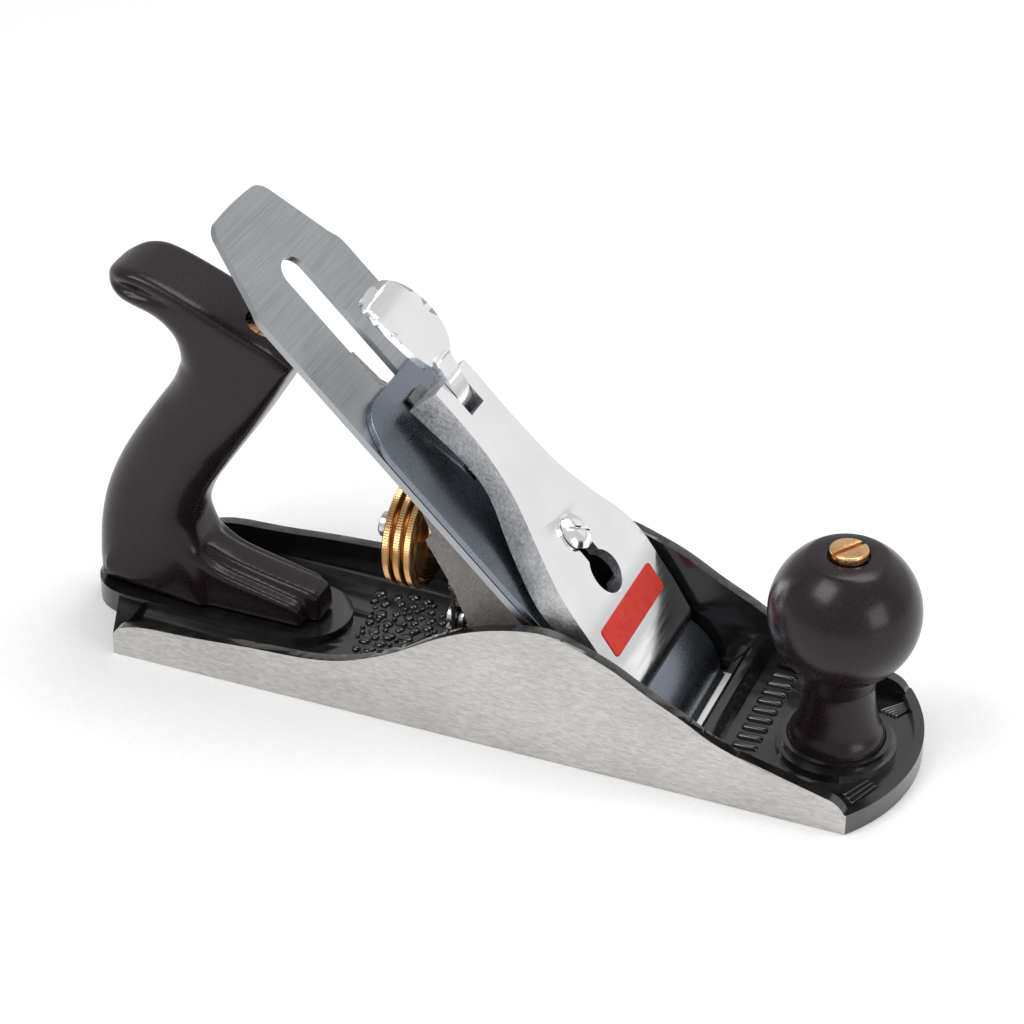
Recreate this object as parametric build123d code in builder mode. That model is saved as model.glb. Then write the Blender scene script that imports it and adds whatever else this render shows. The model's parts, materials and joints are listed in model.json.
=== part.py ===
"""Metal bench plane, smoothing size: sole casting, frog, iron, cap iron, lever cap, adjusters, knob and tote.

Frame: +X towards the toe, +Z up, origin on the sole's underside at the middle of its length and width.
Millimetres throughout.  Bed coordinates: t runs up the 45 degree bed from the mouth, n stands off it.
"""
from build123d import *
from math import sqrt
import os

# ---- driving dimensions -------------------------------------------------
SOLE_W = 61.0            # width over the cheeks
X_HEEL = -122.5          # end of the heel tongue
X_TOE = 122.5            # toe apex
X_REAR = -104.0          # rear end of the cheeks
X_FRONT = 112.0          # front end of the cheeks
SOLE_T = 4.0             # floor thickness
CHEEK_T = 3.2
X_MOUTH = 57.0           # where the bed plane meets the sole's underside
IRON_W = 50.0
IRON_T = 2.0
IRON_L = 188.4           # bed coordinate of the iron's top
CAP_L = 126.0
SEAT_Z = 9.0             # frog seat height
BED_PLATE = 5.0
T_LCS = 62.0             # lever cap screw
T_CIS = 77.0             # cap iron screw
YOKE_X, YOKE_Z = -14.0, 60.0
STUD_Z = 43.0
STUD_R = 3.57
WHEEL_R = 15.6
ADJ_Z = 17.5
T_RIVET = 111.0
T_ROLLER = 100.0
T_CAM, N_CAM = 112.8, 12.6
KNOB_X = 99.7
BALL_R = 20.5
BALL_Z = 48.6
TOTE_HW = 11.5

S = sqrt(2.0)
HW = SOLE_W / 2
IN_Y = HW - CHEEK_T


def bx(t, n):
    """Row X of a bed coordinate."""
    return X_MOUTH + (n - t) / S


def bz(t, n):
    """Row Z of a bed coordinate."""
    return (t + n) / S


def bed_face(n=0.0, t=0.0):
    """Plane lying on the bed: local x is t, local z is n."""
    return Plane(origin=(bx(t, n), 0, bz(t, n)), x_dir=(-1, 0, 1), z_dir=(1, 0, 1))


BED_SIDE = Plane(origin=(X_MOUTH, 0, 0), x_dir=(-1, 0, 1), z_dir=(0, 1, 0))   # local x is t, local y is n


def side_at(t, n, y=0.0):
    """Plane across the plane body at a bed coordinate, normal along +Y."""
    return Plane(origin=(bx(t, n), y, bz(t, n)), x_dir=(-1, 0, 1), z_dir=(0, 1, 0))


# ---- sole casting -------------------------------------------------------
cheek_top = [(-104.0, 6.4), (-102.9, 8.0), (-99.8, 9.7), (-82.4, 11.6), (-60.7, 13.3), (-34.9, 15.9),
             (-24.1, 19.9), (-15.1, 24.7), (-6.2, 30.4), (2.6, 35.1), (11.3, 38.4), (19.9, 40.5),
             (27.8, 41.1), (35.8, 38.9), (45.4, 35.1), (55.7, 29.3), (67.7, 23.1), (77.3, 18.0),
             (91.4, 13.7), (106.0, 10.2)]

with BuildPart() as sole_casting:
    with BuildSketch(Plane.XY) as outline:
        with BuildLine():
            Line((X_REAR, -HW), (X_FRONT, -HW))
            ThreePointArc((X_FRONT, -HW), (X_TOE, 0), (X_FRONT, HW))
            Line((X_FRONT, HW), (X_REAR, HW))
            Line((X_REAR, HW), (-111.4, 12.5))
            ThreePointArc((-111.4, 12.5), (X_HEEL, 0), (-111.4, -12.5))
            Line((-111.4, -12.5), (X_REAR, -HW))
        make_face()
    extrude(amount=SOLE_T)
    # low rim round toe and heel
    with BuildSketch(Plane.XY.offset(SOLE_T)):
        with BuildLine():
            Line((X_REAR, -HW), (X_FRONT, -HW))
            ThreePointArc((X_FRONT, -HW), (X_TOE, 0), (X_FRONT, HW))
            Line((X_FRONT, HW), (X_REAR, HW))
            Line((X_REAR, HW), (-111.4, 12.5))
            ThreePointArc((-111.4, 12.5), (X_HEEL, 0), (-111.4, -12.5))
            Line((-111.4, -12.5), (X_REAR, -HW))
        make_face()
        with BuildLine(mode=Mode.PRIVATE) as inner:
            Line((-103.0, -HW + 3.0), (110.6, -HW + 3.0))
            ThreePointArc((110.6, -HW + 3.0), (119.9, 0), (110.6, HW - 3.0))
            Line((110.6, HW - 3.0), (-103.0, HW - 3.0))
            Line((-103.0, HW - 3.0), (-103.0, -HW + 3.0))
        make_face(inner.edges(), mode=Mode.SUBTRACT)
    extrude(amount=2.2)
    # cheeks
    with BuildSketch(Plane.XZ.offset(HW - CHEEK_T)):
        with BuildLine():
            Spline(*cheek_top[1:], tangents=((0.9, 1.0), (1, -0.27)))
            ThreePointArc(cheek_top[-1], (110.2, 8.0), (X_FRONT, 4.0))
            Line((X_FRONT, 4.0), (X_FRONT, 0.0))
            Line((X_FRONT, 0.0), (X_REAR, 0.0))
            Line((X_REAR, 0.0), cheek_top[0])
            Line(cheek_top[0], cheek_top[1])
        make_face()
    extrude(amount=CHEEK_T)
    with BuildSketch(Plane.XZ.offset(-HW)):
        with BuildLine():
            Spline(*cheek_top[1:], tangents=((0.9, 1.0), (1, -0.27)))
            ThreePointArc(cheek_top[-1], (110.2, 8.0), (X_FRONT, 4.0))
            Line((X_FRONT, 4.0), (X_FRONT, 0.0))
            Line((X_FRONT, 0.0), (X_REAR, 0.0))
            Line((X_REAR, 0.0), cheek_top[0])
            Line(cheek_top[0], cheek_top[1])
        make_face()
    extrude(amount=CHEEK_T)
    # frog seat with its sloping front
    with BuildSketch(Plane.XZ):
        Polygon((1.0, 3.0), (2.0, SEAT_Z), (46.2, SEAT_Z), (52.2, 3.0), align=None)
    extrude(amount=24.0, both=True)
    # lug for the frog adjusting screw
    with BuildSketch(Plane.XY.offset(3.0)):
        with Locations((1.0, 0)):
            Rectangle(8.0, 11.0)
    extrude(amount=14.5)
    with BuildSketch(Plane.YZ.offset(-3.0)):
        with Locations((0, ADJ_Z)):
            Circle(5.5)
    extrude(amount=8.0)
    # cross rib in front of the mouth
    with BuildSketch(Plane.XZ):
        Polygon((61.0, 3.0), (66.2, 9.6), (68.6, 9.6), (71.0, 3.0), align=None)
    extrude(amount=IN_Y + 0.5, both=True)
    # tote seat, running out into the heel tongue
    with BuildSketch(Plane.XY.offset(3.0)):
        with BuildLine():
            Line((-111.4, -12.5), (-58.0, -13.6))
            ThreePointArc((-58.0, -13.6), (-44.6, 0), (-58.0, 13.6))
            Line((-58.0, 13.6), (-111.4, 12.5))
            ThreePointArc((-111.4, 12.5), (X_HEEL, 0), (-111.4, -12.5))
        make_face()
    extrude(amount=4.0)
    # knob ring, stepped
    with BuildSketch(Plane.XY.offset(3.0)):
        with Locations((KNOB_X, 0)):
            Circle(16.4)
    extrude(amount=3.4)
    with BuildSketch(Plane.XY.offset(3.0)):
        with Locations((KNOB_X, 0)):
            Circle(14.9)
    extrude(amount=5.6)
    with BuildSketch(Plane.XY.offset(6.2)):
        with Locations((KNOB_X, 0)):
            Circle(13.5)
    extrude(amount=10.0, mode=Mode.SUBTRACT)
    # mouth
    with BuildSketch(Plane.XZ):
        Polygon((55.9, -1.0), (62.8, -1.0), (62.8, 2.4), (64.8, 5.2), (63.4, 12.0), (43.0, 12.0), align=None)
    extrude(amount=26.2, both=True, mode=Mode.SUBTRACT)
    # bores: frog screws, adjusting screw, knob rod, tote rod
    with BuildSketch(Plane.XY.offset(-1.0)):
        with Locations((26.0, 11.0), (26.0, -11.0)):
            Circle(2.85)
    extrude(amount=14.0, mode=Mode.SUBTRACT)
    with BuildSketch(Plane.YZ.offset(-10.0)):
        with Locations((0, ADJ_Z)):
            Circle(2.6)
    extrude(amount=20.0, mode=Mode.SUBTRACT)
    with BuildSketch(Plane.XY.offset(1.2)):
        with Locations((KNOB_X, 0)):
            Circle(3.05)
    extrude(amount=10.0, mode=Mode.SUBTRACT)
    with BuildSketch(Plane(origin=(-107.485, 0, 3.8), x_dir=(0, 1, 0), z_dir=(25.0, 0, 59.0))):
        Circle(3.05)
    extrude(amount=12.0, mode=Mode.SUBTRACT)
sole_casting.part.label = "sole_casting"

# ---- front knob ---------------------------------------------------------
knob_plane = Plane(origin=(KNOB_X, 0, 0), x_dir=(1, 0, 0), z_dir=(0, -1, 0))
with BuildPart() as knob:
    with BuildSketch(knob_plane):
        with BuildLine():
            Line((0, 6.3), (13.2, 6.3))
            Line((13.2, 6.3), (13.2, 10.8))
            Spline((13.2, 10.8), (11.6, 14.5), (10.2, 20.0), (9.9, 25.5), (12.3, 30.4),
                   tangents=((0.1, 1.0), (1.0, 0.72)))
            ThreePointArc((12.3, BALL_Z - sqrt(BALL_R ** 2 - 12.3 ** 2)), (BALL_R, BALL_Z),
                          (5.4, BALL_Z + sqrt(BALL_R ** 2 - 5.4 ** 2)))
            Line((5.4, BALL_Z + sqrt(BALL_R ** 2 - 5.4 ** 2)), (5.4, 65.3))
            Line((5.4, 65.3), (0, 65.3))
            Line((0, 65.3), (0, 6.3))
            Line((12.3, 30.4), (12.3, BALL_Z - sqrt(BALL_R ** 2 - 12.3 ** 2)))
        make_face()
    revolve(axis=Axis((KNOB_X, 0, 0), (0, 0, 1)))
    with BuildSketch(Plane.XY):
        with Locations((KNOB_X, 0)):
            Circle(3.4)
    extrude(amount=80.0, mode=Mode.SUBTRACT)
    with BuildSketch(Plane.XY.offset(50.0)):
        with Locations((KNOB_X, 0)):
            Circle(4.3)
    extrude(amount=30.0, mode=Mode.SUBTRACT)
knob.part.label = "knob"

with BuildPart() as knob_rod:
    with BuildSketch(Plane.XY.offset(1.3)):
        with Locations((KNOB_X, 0)):
            Circle(3.0)
    extrude(amount=59.0)
    chamfer(knob_rod.edges().filter_by(GeomType.CIRCLE), length=0.5)
knob_rod.part.label = "knob_rod"

with BuildPart() as knob_nut:
    with BuildSketch(Plane.XY.offset(52.0)):
        with Locations((KNOB_X, 0)):
            Circle(4.2)
    extrude(amount=14.0)
    with BuildSketch(Plane.XY.offset(65.35)):
        with Locations((KNOB_X, 0)):
            Circle(5.2)
    extrude(amount=3.2)
    fillet(knob_nut.edges().group_by(Axis.Z)[-1], radius=0.6)
    with BuildSketch(Plane.XY.offset(50.0)):
        with Locations((KNOB_X, 0)):
            Circle(3.03)
    extrude(amount=11.0, mode=Mode.SUBTRACT)
    with BuildSketch(Plane(origin=(KNOB_X, 0, 67.2), x_dir=(0.55, 0.83, 0), z_dir=(0, 0, 1))):
        Rectangle(12.0, 1.3)
    extrude(amount=4.0, mode=Mode.SUBTRACT)
knob_nut.part.label = "knob_nut"

# ---- tote (rear handle) -------------------------------------------------
# outline as short arcs: start, a point on the way, end
tote_front = [
    ((-55.00, 92.00), (-58.477, 85.886), (-62.00, 79.80)),
    ((-62.00, 79.80), (-65.943, 73.265), (-70.00, 66.80)),
    ((-70.00, 66.80), (-74.486, 60.091), (-79.00, 53.40)),
    ((-79.00, 53.40), (-82.635, 47.980), (-86.00, 42.40)),
    ((-86.00, 42.40), (-88.036, 38.326), (-89.20, 34.00)),
    ((-89.20, 34.00), (-88.842, 30.301), (-87.20, 27.00)),
    ((-87.20, 27.00), (-83.915, 24.377), (-80.00, 22.60)),
    ((-80.00, 22.60), (-75.062, 21.103), (-70.00, 20.00)),
    ((-70.00, 20.00), (-65.009, 18.959), (-60.00, 18.00)),
    ((-60.00, 18.00), (-56.304, 17.277), (-52.60, 16.60)),
]
tote_back = [
    ((-120.60, 7.20), (-120.811, 11.600), (-120.90, 16.00)),
    ((-120.90, 16.00), (-120.568, 21.516), (-119.90, 27.00)),
    ((-119.90, 27.00), (-118.862, 32.551), (-117.40, 38.00)),
    ((-117.40, 38.00), (-115.309, 43.585), (-112.80, 49.00)),
    ((-112.80, 49.00), (-109.726, 54.570), (-106.40, 60.00)),
    ((-106.40, 60.00), (-103.139, 65.025), (-99.80, 70.00)),
    ((-99.80, 70.00), (-96.900, 74.140), (-94.20, 78.40)),
    ((-94.20, 78.40), (-92.373, 82.090), (-91.20, 86.00)),
    ((-91.20, 86.00), (-91.150, 89.355), (-92.00, 92.60)),
    ((-92.00, 92.60), (-93.691, 95.235), (-96.00, 97.40)),
    ((-96.00, 97.40), (-98.694, 98.979), (-101.60, 100.20)),
    ((-101.60, 100.20), (-104.190, 101.135), (-106.80, 102.00)),
    ((-106.80, 102.00), (-109.012, 102.928), (-111.00, 104.20)),
    ((-111.00, 104.20), (-112.141, 105.658), (-112.60, 107.40)),
    ((-112.60, 107.40), (-112.046, 109.175), (-110.80, 110.60)),
    ((-110.80, 110.60), (-108.531, 111.897), (-106.00, 112.60)),
    ((-106.00, 112.60), (-102.591, 112.872), (-99.20, 112.50)),
    ((-99.20, 112.50), (-93.529, 110.780), (-88.00, 108.60)),
    ((-88.00, 108.60), (-80.978, 105.553), (-74.00, 102.40)),
    ((-74.00, 102.40), (-67.260, 99.477), (-60.50, 96.60)),
]

with BuildPart() as tote:
    with BuildSketch(Plane.XZ):
        with BuildLine():
            for start, middle, end in tote_front:
                ThreePointArc(start, middle, end)
            Line(tote_front[-1][2], (-51.2, 15.2))
            Line((-51.2, 15.2), (-51.2, 7.2))
            Line((-51.2, 7.2), tote_back[0][0])
            for start, middle, end in tote_back:
                ThreePointArc(start, middle, end)
            Line(tote_back[-1][2], tote_front[0][0])
        make_face()
    extrude(amount=TOTE_HW, both=True)
    # the horn's end is round in plan
    with BuildSketch(Plane.XY.offset(96.0)):
        with Locations((-108.0, 0)):
            Rectangle(14.0, 30.0)
        with Locations((-101.0, 0)):
            Circle(TOTE_HW + 0.3, mode=Mode.SUBTRACT)
    extrude(amount=24.0, mode=Mode.SUBTRACT)
    # narrow ridge along the foot with a lower step at each side
    with BuildSketch(Plane.XZ.offset(-TOTE_HW - 1)):
        with BuildLine():
            Polyline((-84.0, 30.0), (-80.5, 19.6), (-68.0, 16.2), (-54.0, 13.6), (-45.0, 12.2), (-45.0, 30.0), (-84.0, 30.0))
        make_face()
    extrude(amount=6.2, mode=Mode.SUBTRACT)
    with BuildSketch(Plane.XZ.offset(TOTE_HW + 1)):
        with BuildLine():
            Polyline((-84.0, 30.0), (-80.5, 19.6), (-68.0, 16.2), (-54.0, 13.6), (-45.0, 12.2), (-45.0, 30.0), (-84.0, 30.0))
        make_face()
    extrude(amount=-6.2, mode=Mode.SUBTRACT)
    # hole for the rod, and the counterbore for its nut
    with BuildSketch(Plane(origin=(-108.756, 0, 0.8), x_dir=(0, 1, 0), z_dir=(25.0, 0, 59.0))):
        Circle(3.4)
    extrude(amount=130.0, mode=Mode.SUBTRACT)
    with BuildSketch(Plane(origin=(-70.451, 0, 91.2), x_dir=(0, 1, 0), z_dir=(25.0, 0, 59.0))):
        Circle(5.6)
    extrude(amount=30.0, mode=Mode.SUBTRACT)
tote.part.label = "tote"

with BuildPart() as tote_rod:
    with BuildSketch(Plane(origin=(-107.146, 0, 4.6), x_dir=(0, 1, 0), z_dir=(25.0, 0, 59.0))):
        Circle(3.0)
    extrude(amount=95.9)
    chamfer(tote_rod.edges().filter_by(GeomType.CIRCLE), length=0.5)
tote_rod.part.label = "tote_rod"

with BuildPart() as tote_nut:
    with BuildSketch(Plane(origin=(-70.430, 0, 91.25), x_dir=(0, 1, 0), z_dir=(25.0, 0, 59.0))):
        Circle(5.3)
    extrude(amount=5.4)
    with BuildSketch(Plane(origin=(-70.430, 0, 91.25), x_dir=(0, 1, 0), z_dir=(25.0, 0, 59.0))):
        Circle(3.03)
    extrude(amount=3.4, mode=Mode.SUBTRACT)
    with BuildSketch(Plane(origin=(-68.629, 0, 95.5), x_dir=(0, 1, 0), z_dir=(25.0, 0, 59.0))):
        Rectangle(12.0, 1.3)
    extrude(amount=4.0, mode=Mode.SUBTRACT)
tote_nut.part.label = "tote_nut"

# ---- frog ---------------------------------------------------------------
FB = SEAT_Z + 0.05
with BuildPart() as frog:
    # solid wedge, then hollowed
    with BuildSketch(Plane.XZ):
        Polygon((bx(12.8, -0.05), FB), (bx(88.0, -0.05), bz(88.0, -0.05)), (bx(88.0, -8.0), bz(88.0, -8.0)),
                (-3.0, 43.0), (2.6, 29.0), (6.8, 15.0), (6.8, FB), align=None)
    extrude(amount=22.0, both=True)
    with BuildSketch(Plane.XZ):
        Polygon((bx(22.0, -BED_PLATE), 13.5), (bx(95.0, -BED_PLATE), bz(95.0, -BED_PLATE)), (-40.0, 60.0), (-20.0, 13.5),
                align=None)
    extrude(amount=18.0, both=True, mode=Mode.SUBTRACT)
    # centre web
    with BuildSketch(Plane.XZ):
        Polygon((bx(20.0, -4.0), 12.0), (bx(84.0, -4.0), bz(84.0, -4.0)), (-4.9, 53.0), (-4.9, 34.5), (-9.3, 33.0), (-9.3, 25.0),
                (8.5, 25.0), (8.5, 12.0), align=None)
    extrude(amount=3.5, both=True)
    # bed plate, running up past the side walls and narrowing to a round top
    with BuildSketch(bed_face(-BED_PLATE)):
        with BuildLine():
            Polyline((30.0, -22.0), (88.0, -22.0), (104.0, -14.0), (110.0, -12.0))
            ThreePointArc((110.0, -12.0), (120.0, 0.0), (110.0, 12.0))
            Polyline((110.0, 12.0), (104.0, 14.0), (88.0, 22.0), (30.0, 22.0), (30.0, -22.0))
        make_face()
    extrude(amount=BED_PLATE - 0.05)
    # bosses: stud, lever cap screw, clip pad
    with BuildSketch(Plane.YZ.offset(-4.9)):
        with Locations((0, STUD_Z)):
            Circle(6.2)
    extrude(amount=14.0)
    with BuildSketch(bed_face(-14.0, T_LCS)):
        Circle(6.5)
    extrude(amount=12.0)
    with BuildSketch(Plane.YZ.offset(-9.3)):
        with Locations((0, 29.0)):
            Rectangle(11.0, 8.0)
    extrude(amount=12.0)
    # lugs for the yoke pin
    with BuildSketch(Plane.XZ.offset(4.7)):
        Polygon((bx(86.0, -4.0), bz(86.0, -4.0)), (bx(99.0, -4.0), bz(99.0, -4.0)), (YOKE_X - 3.6, YOKE_Z + 1.0),
                (YOKE_X - 2.6, YOKE_Z - 3.2), (YOKE_X + 2.4, YOKE_Z - 3.8), align=None)
    extrude(amount=4.0)
    with BuildSketch(Plane.XZ.offset(-8.7)):
        Polygon((bx(86.0, -4.0), bz(86.0, -4.0)), (bx(99.0, -4.0), bz(99.0, -4.0)), (YOKE_X - 3.6, YOKE_Z + 1.0),
                (YOKE_X - 2.6, YOKE_Z - 3.2), (YOKE_X + 2.4, YOKE_Z - 3.8), align=None)
    extrude(amount=4.0)
    # clearances
    with BuildSketch(bed_face(-4.6)):                      # cap iron screw head
        with Locations((T_CIS - 0.5, 0)):
            SlotCenterToCenter(4.0, 18.4)
    extrude(amount=10.0, mode=Mode.SUBTRACT)
    with BuildSketch(bed_face(-12.0)):                     # yoke finger
        with Locations((92.6, 0)):
            Rectangle(9.0, 9.4)
    extrude(amount=20.0, mode=Mode.SUBTRACT)
    with BuildSketch(bed_face(-1.9)):                      # recess for the lateral lever
        with BuildLine():
            Polyline((96.6, -7.4), (106.0, -7.8), (122.0, -13.5), (122.0, 13.5), (106.0, 7.8), (96.6, 7.4), (96.6, -7.4))
        make_face()
    extrude(amount=10.0, mode=Mode.SUBTRACT)
    with BuildSketch(bed_face(-20.0, T_LCS)):              # lever cap screw
        Circle(2.55)
    extrude(amount=40.0, mode=Mode.SUBTRACT)
    with BuildSketch(bed_face(-BED_PLATE - 1.0, T_RIVET)):   # lateral lever rivet
        Circle(1.6)
    extrude(amount=12.0, mode=Mode.SUBTRACT)
    with BuildSketch(Plane.XY.offset(13.5)):               # reach for the screwdriver
        with Locations((26.0, 11.0), (26.0, -11.0)):
            SlotCenterToCenter(2.6, 12.4)
    extrude(amount=40.0, mode=Mode.SUBTRACT)
    with BuildSketch(Plane.XY.offset(0.0)):                # frog screw slots
        with Locations((26.0, 11.0), (26.0, -11.0)):
            SlotCenterToCenter(2.6, 6.4)
    extrude(amount=20.0, mode=Mode.SUBTRACT)
    with BuildSketch(Plane.XY.offset(0.0)):                # notch round the adjusting screw's lug
        with Locations((0.0, 0)):
            Rectangle(17.0, 13.6)
    extrude(amount=24.6, mode=Mode.SUBTRACT)
    with BuildSketch(Plane.YZ.offset(-20.0)):              # depth stud
        with Locations((0, STUD_Z)):
            Circle(3.6)
    extrude(amount=24.0, mode=Mode.SUBTRACT)
    with BuildSketch(Plane.YZ.offset(-20.0)):              # adjusting screw's end, clip screw
        with Locations((0, ADJ_Z)):
            Circle(3.2)
        with Locations((0, 29.0)):
            Circle(1.55)
    extrude(amount=29.0, mode=Mode.SUBTRACT)
    with BuildSketch(Plane.XZ.offset(-20.0)):              # yoke pin
        with Locations((YOKE_X, YOKE_Z)):
            Circle(1.5)
    extrude(amount=40.0, mode=Mode.SUBTRACT)
frog.part.label = "frog"

with BuildPart() as frog_screws:
    with BuildSketch(Plane.XY.offset(1.0)):
        with Locations((26.0, 11.0), (26.0, -11.0)):
            Circle(2.8)
    extrude(amount=16.0)
    with BuildSketch(Plane.XY.offset(14.85)):
        with Locations((26.0, 11.0), (26.0, -11.0)):
            Circle(4.6)
    extrude(amount=3.2)
    chamfer(frog_screws.edges().group_by(Axis.Z)[-1], length=0.5)
    with BuildSketch(Plane.XY.offset(16.9)):
        with Locations((26.0, 11.0), (26.0, -11.0)):
            Rectangle(1.2, 12.0)
    extrude(amount=4.0, mode=Mode.SUBTRACT)
frog_screws.part.label = "frog_screws"

with BuildPart() as frog_screw_washers:
    with BuildSketch(Plane.XY.offset(13.6)):
        with Locations((26.0, 11.0), (26.0, -11.0)):
            Circle(5.4)
            Circle(2.9, mode=Mode.SUBTRACT)
    extrude(amount=1.2)
frog_screw_washers.part.label = "frog_screw_washers"

with BuildPart() as frog_adjusting_screw:
    with BuildSketch(Plane.YZ.offset(-12.6)):
        with Locations((0, ADJ_Z)):
            Circle(4.7)
    extrude(amount=1.7)
    with BuildSketch(Plane.YZ.offset(-12.6)):
        with Locations((0, ADJ_Z)):
            Circle(2.6)
    extrude(amount=5.0)
    with BuildSketch(Plane.YZ.offset(-9.2)):
        with Locations((0, ADJ_Z)):
            Circle(4.7)
    extrude(amount=1.4)
    with BuildSketch(Plane.YZ.offset(-8.0)):
        with Locations((0, ADJ_Z)):
            Circle(2.53)
    extrude(amount=14.0)
    with BuildSketch(Plane.YZ.offset(-14.0)):
        with Locations((0, ADJ_Z)):
            Rectangle(12.0, 1.2)
    extrude(amount=2.4, mode=Mode.SUBTRACT)
frog_adjusting_screw.part.label = "frog_adjusting_screw"

with BuildPart() as frog_adjusting_clip:
    with BuildSketch(Plane.YZ.offset(-10.7)):
        with BuildLine():
            Polyline((-5.6, 33.0), (-5.6, 14.2), (-2.8, 14.2), (-2.8, 17.5))
            ThreePointArc((-2.8, 17.5), (0, 20.3), (2.8, 17.5))
            Polyline((2.8, 17.5), (2.8, 14.2), (5.6, 14.2), (5.6, 33.0), (-5.6, 33.0))
        make_face()
        with Locations((0, 29.0)):
            Circle(1.6, mode=Mode.SUBTRACT)
    extrude(amount=1.3)
    fillet(frog_adjusting_clip.edges().filter_by(Axis.X).group_by(Axis.Z)[-1], radius=2.0)
frog_adjusting_clip.part.label = "frog_adjusting_clip"

with BuildPart() as clip_screw:
    with BuildSketch(Plane.YZ.offset(-12.7)):
        with Locations((0, 29.0)):
            Circle(2.9)
    extrude(amount=1.95)
    with BuildSketch(Plane.YZ.offset(-12.7)):
        with Locations((0, 29.0)):
            Circle(1.5)
    extrude(amount=12.0)
    with BuildSketch(Plane.YZ.offset(-13.7)):
        with Locations((0, 29.0)):
            Rectangle(8.0, 0.9)
    extrude(amount=1.8, mode=Mode.SUBTRACT)
clip_screw.part.label = "clip_screw"

# ---- depth adjustment ---------------------------------------------------
with BuildPart() as depth_stud:
    with BuildSketch(Plane.YZ.offset(-33.5)):
        with Locations((0, STUD_Z)):
            Circle(STUD_R)
    extrude(amount=37.0)
    chamfer(depth_stud.edges().filter_by(GeomType.CIRCLE), length=0.5)
depth_stud.part.label = "depth_stud"

wheel_plane = Plane(origin=(0, 0, STUD_Z), x_dir=(1, 0, 0), z_dir=(0, -1, 0))
with BuildPart() as depth_wheel:
    with BuildSketch(wheel_plane):
        Polygon((-28.0, STUD_R + 0.05), (-28.0, 12.6), (-27.2, 13.4), (-27.2, WHEEL_R - 0.4), (-26.8, WHEEL_R), (-25.2, WHEEL_R),
                (-24.8, WHEEL_R - 0.4), (-24.8, 13.2), (-24.0, 13.2), (-24.0, WHEEL_R - 0.4), (-23.6, WHEEL_R), (-22.0, WHEEL_R),
                (-21.6, WHEEL_R - 0.4), (-21.6, 13.2), (-20.8, 13.2), (-20.8, WHEEL_R - 0.4), (-20.4, WHEEL_R), (-18.8, WHEEL_R),
                (-18.4, WHEEL_R - 0.4), (-18.4, 13.4), (-17.8, 12.6), (-17.8, 6.0), (-14.6, 6.0), (-14.6, 4.7), (-6.5, 4.7), (-6.5, 6.9),
                (-5.3, 6.9), (-5.3, STUD_R + 0.05), align=None)
    revolve(axis=Axis((0, 0, STUD_Z), (1, 0, 0)))
depth_wheel.part.label = "depth_wheel"

with BuildPart() as yoke:
    # barrel round the pin
    with BuildSketch(Plane.XZ.offset(-4.4)):
        with Locations((YOKE_X, YOKE_Z)):
            Circle(3.3)
    extrude(amount=8.8)
    # finger up through the frog, iron and cap iron
    with BuildSketch(BED_SIDE):
        with BuildLine():
            Polyline((90.9, -7.8), (91.2, 0.5), (91.5, 3.6))
            ThreePointArc((91.5, 3.6), (92.6, 4.6), (93.7, 3.6))
            Polyline((93.7, 3.6), (94.0, 0.5), (94.3, -7.8), (90.9, -7.8))
        make_face()
    extrude(amount=3.2, both=True)
    # fork: cross piece and two tines
    with BuildSketch(Plane.XZ.offset(-4.4)):
        Polygon((YOKE_X - 1.5, YOKE_Z - 1.0), (YOKE_X + 2.4, YOKE_Z - 1.0), (-9.9, 53.0), (-12.9, 53.0), align=None)
    extrude(amount=8.8)
    with BuildSketch(Plane.XZ.offset(-8.25)):
        Polygon((-13.5, 55.4), (-9.9, 55.4), (-9.9, 51.6), (-12.9, 51.6), align=None)
    extrude(amount=16.5)
    for start in (6.15, -8.25):
        with BuildSketch(Plane.XZ.offset(start)):
            with BuildLine():
                Polyline((-10.0, 55.4), (-11.3, 50.5), (-12.0, 46.0), (-10.5, 41.0))
                ThreePointArc((-10.5, 41.0), (-11.9, 39.4), (-13.6, 40.8))
                Polyline((-13.6, 40.8), (-15.6, 47.0), (-16.4, 54.4), (-10.0, 55.4))
            make_face()
        extrude(amount=2.1)
    # inner lugs that ride in the wheel's groove
    for start in (5.0, -6.3):
        with BuildSketch(Plane.XZ.offset(start)):
            with Locations((-11.8, 43.0)):
                Rectangle(1.8, 4.4)
        extrude(amount=1.3)
    with BuildSketch(Plane.XZ.offset(-20.0)):
        with Locations((YOKE_X, YOKE_Z)):
            Circle(1.55)
    extrude(amount=40.0, mode=Mode.SUBTRACT)
yoke.part.label = "yoke"

with BuildPart() as yoke_pin:
    with BuildSketch(Plane.XZ.offset(-9.6)):
        with Locations((YOKE_X, YOKE_Z)):
            Circle(1.49)
    extrude(amount=19.2)
yoke_pin.part.label = "yoke_pin"

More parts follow.
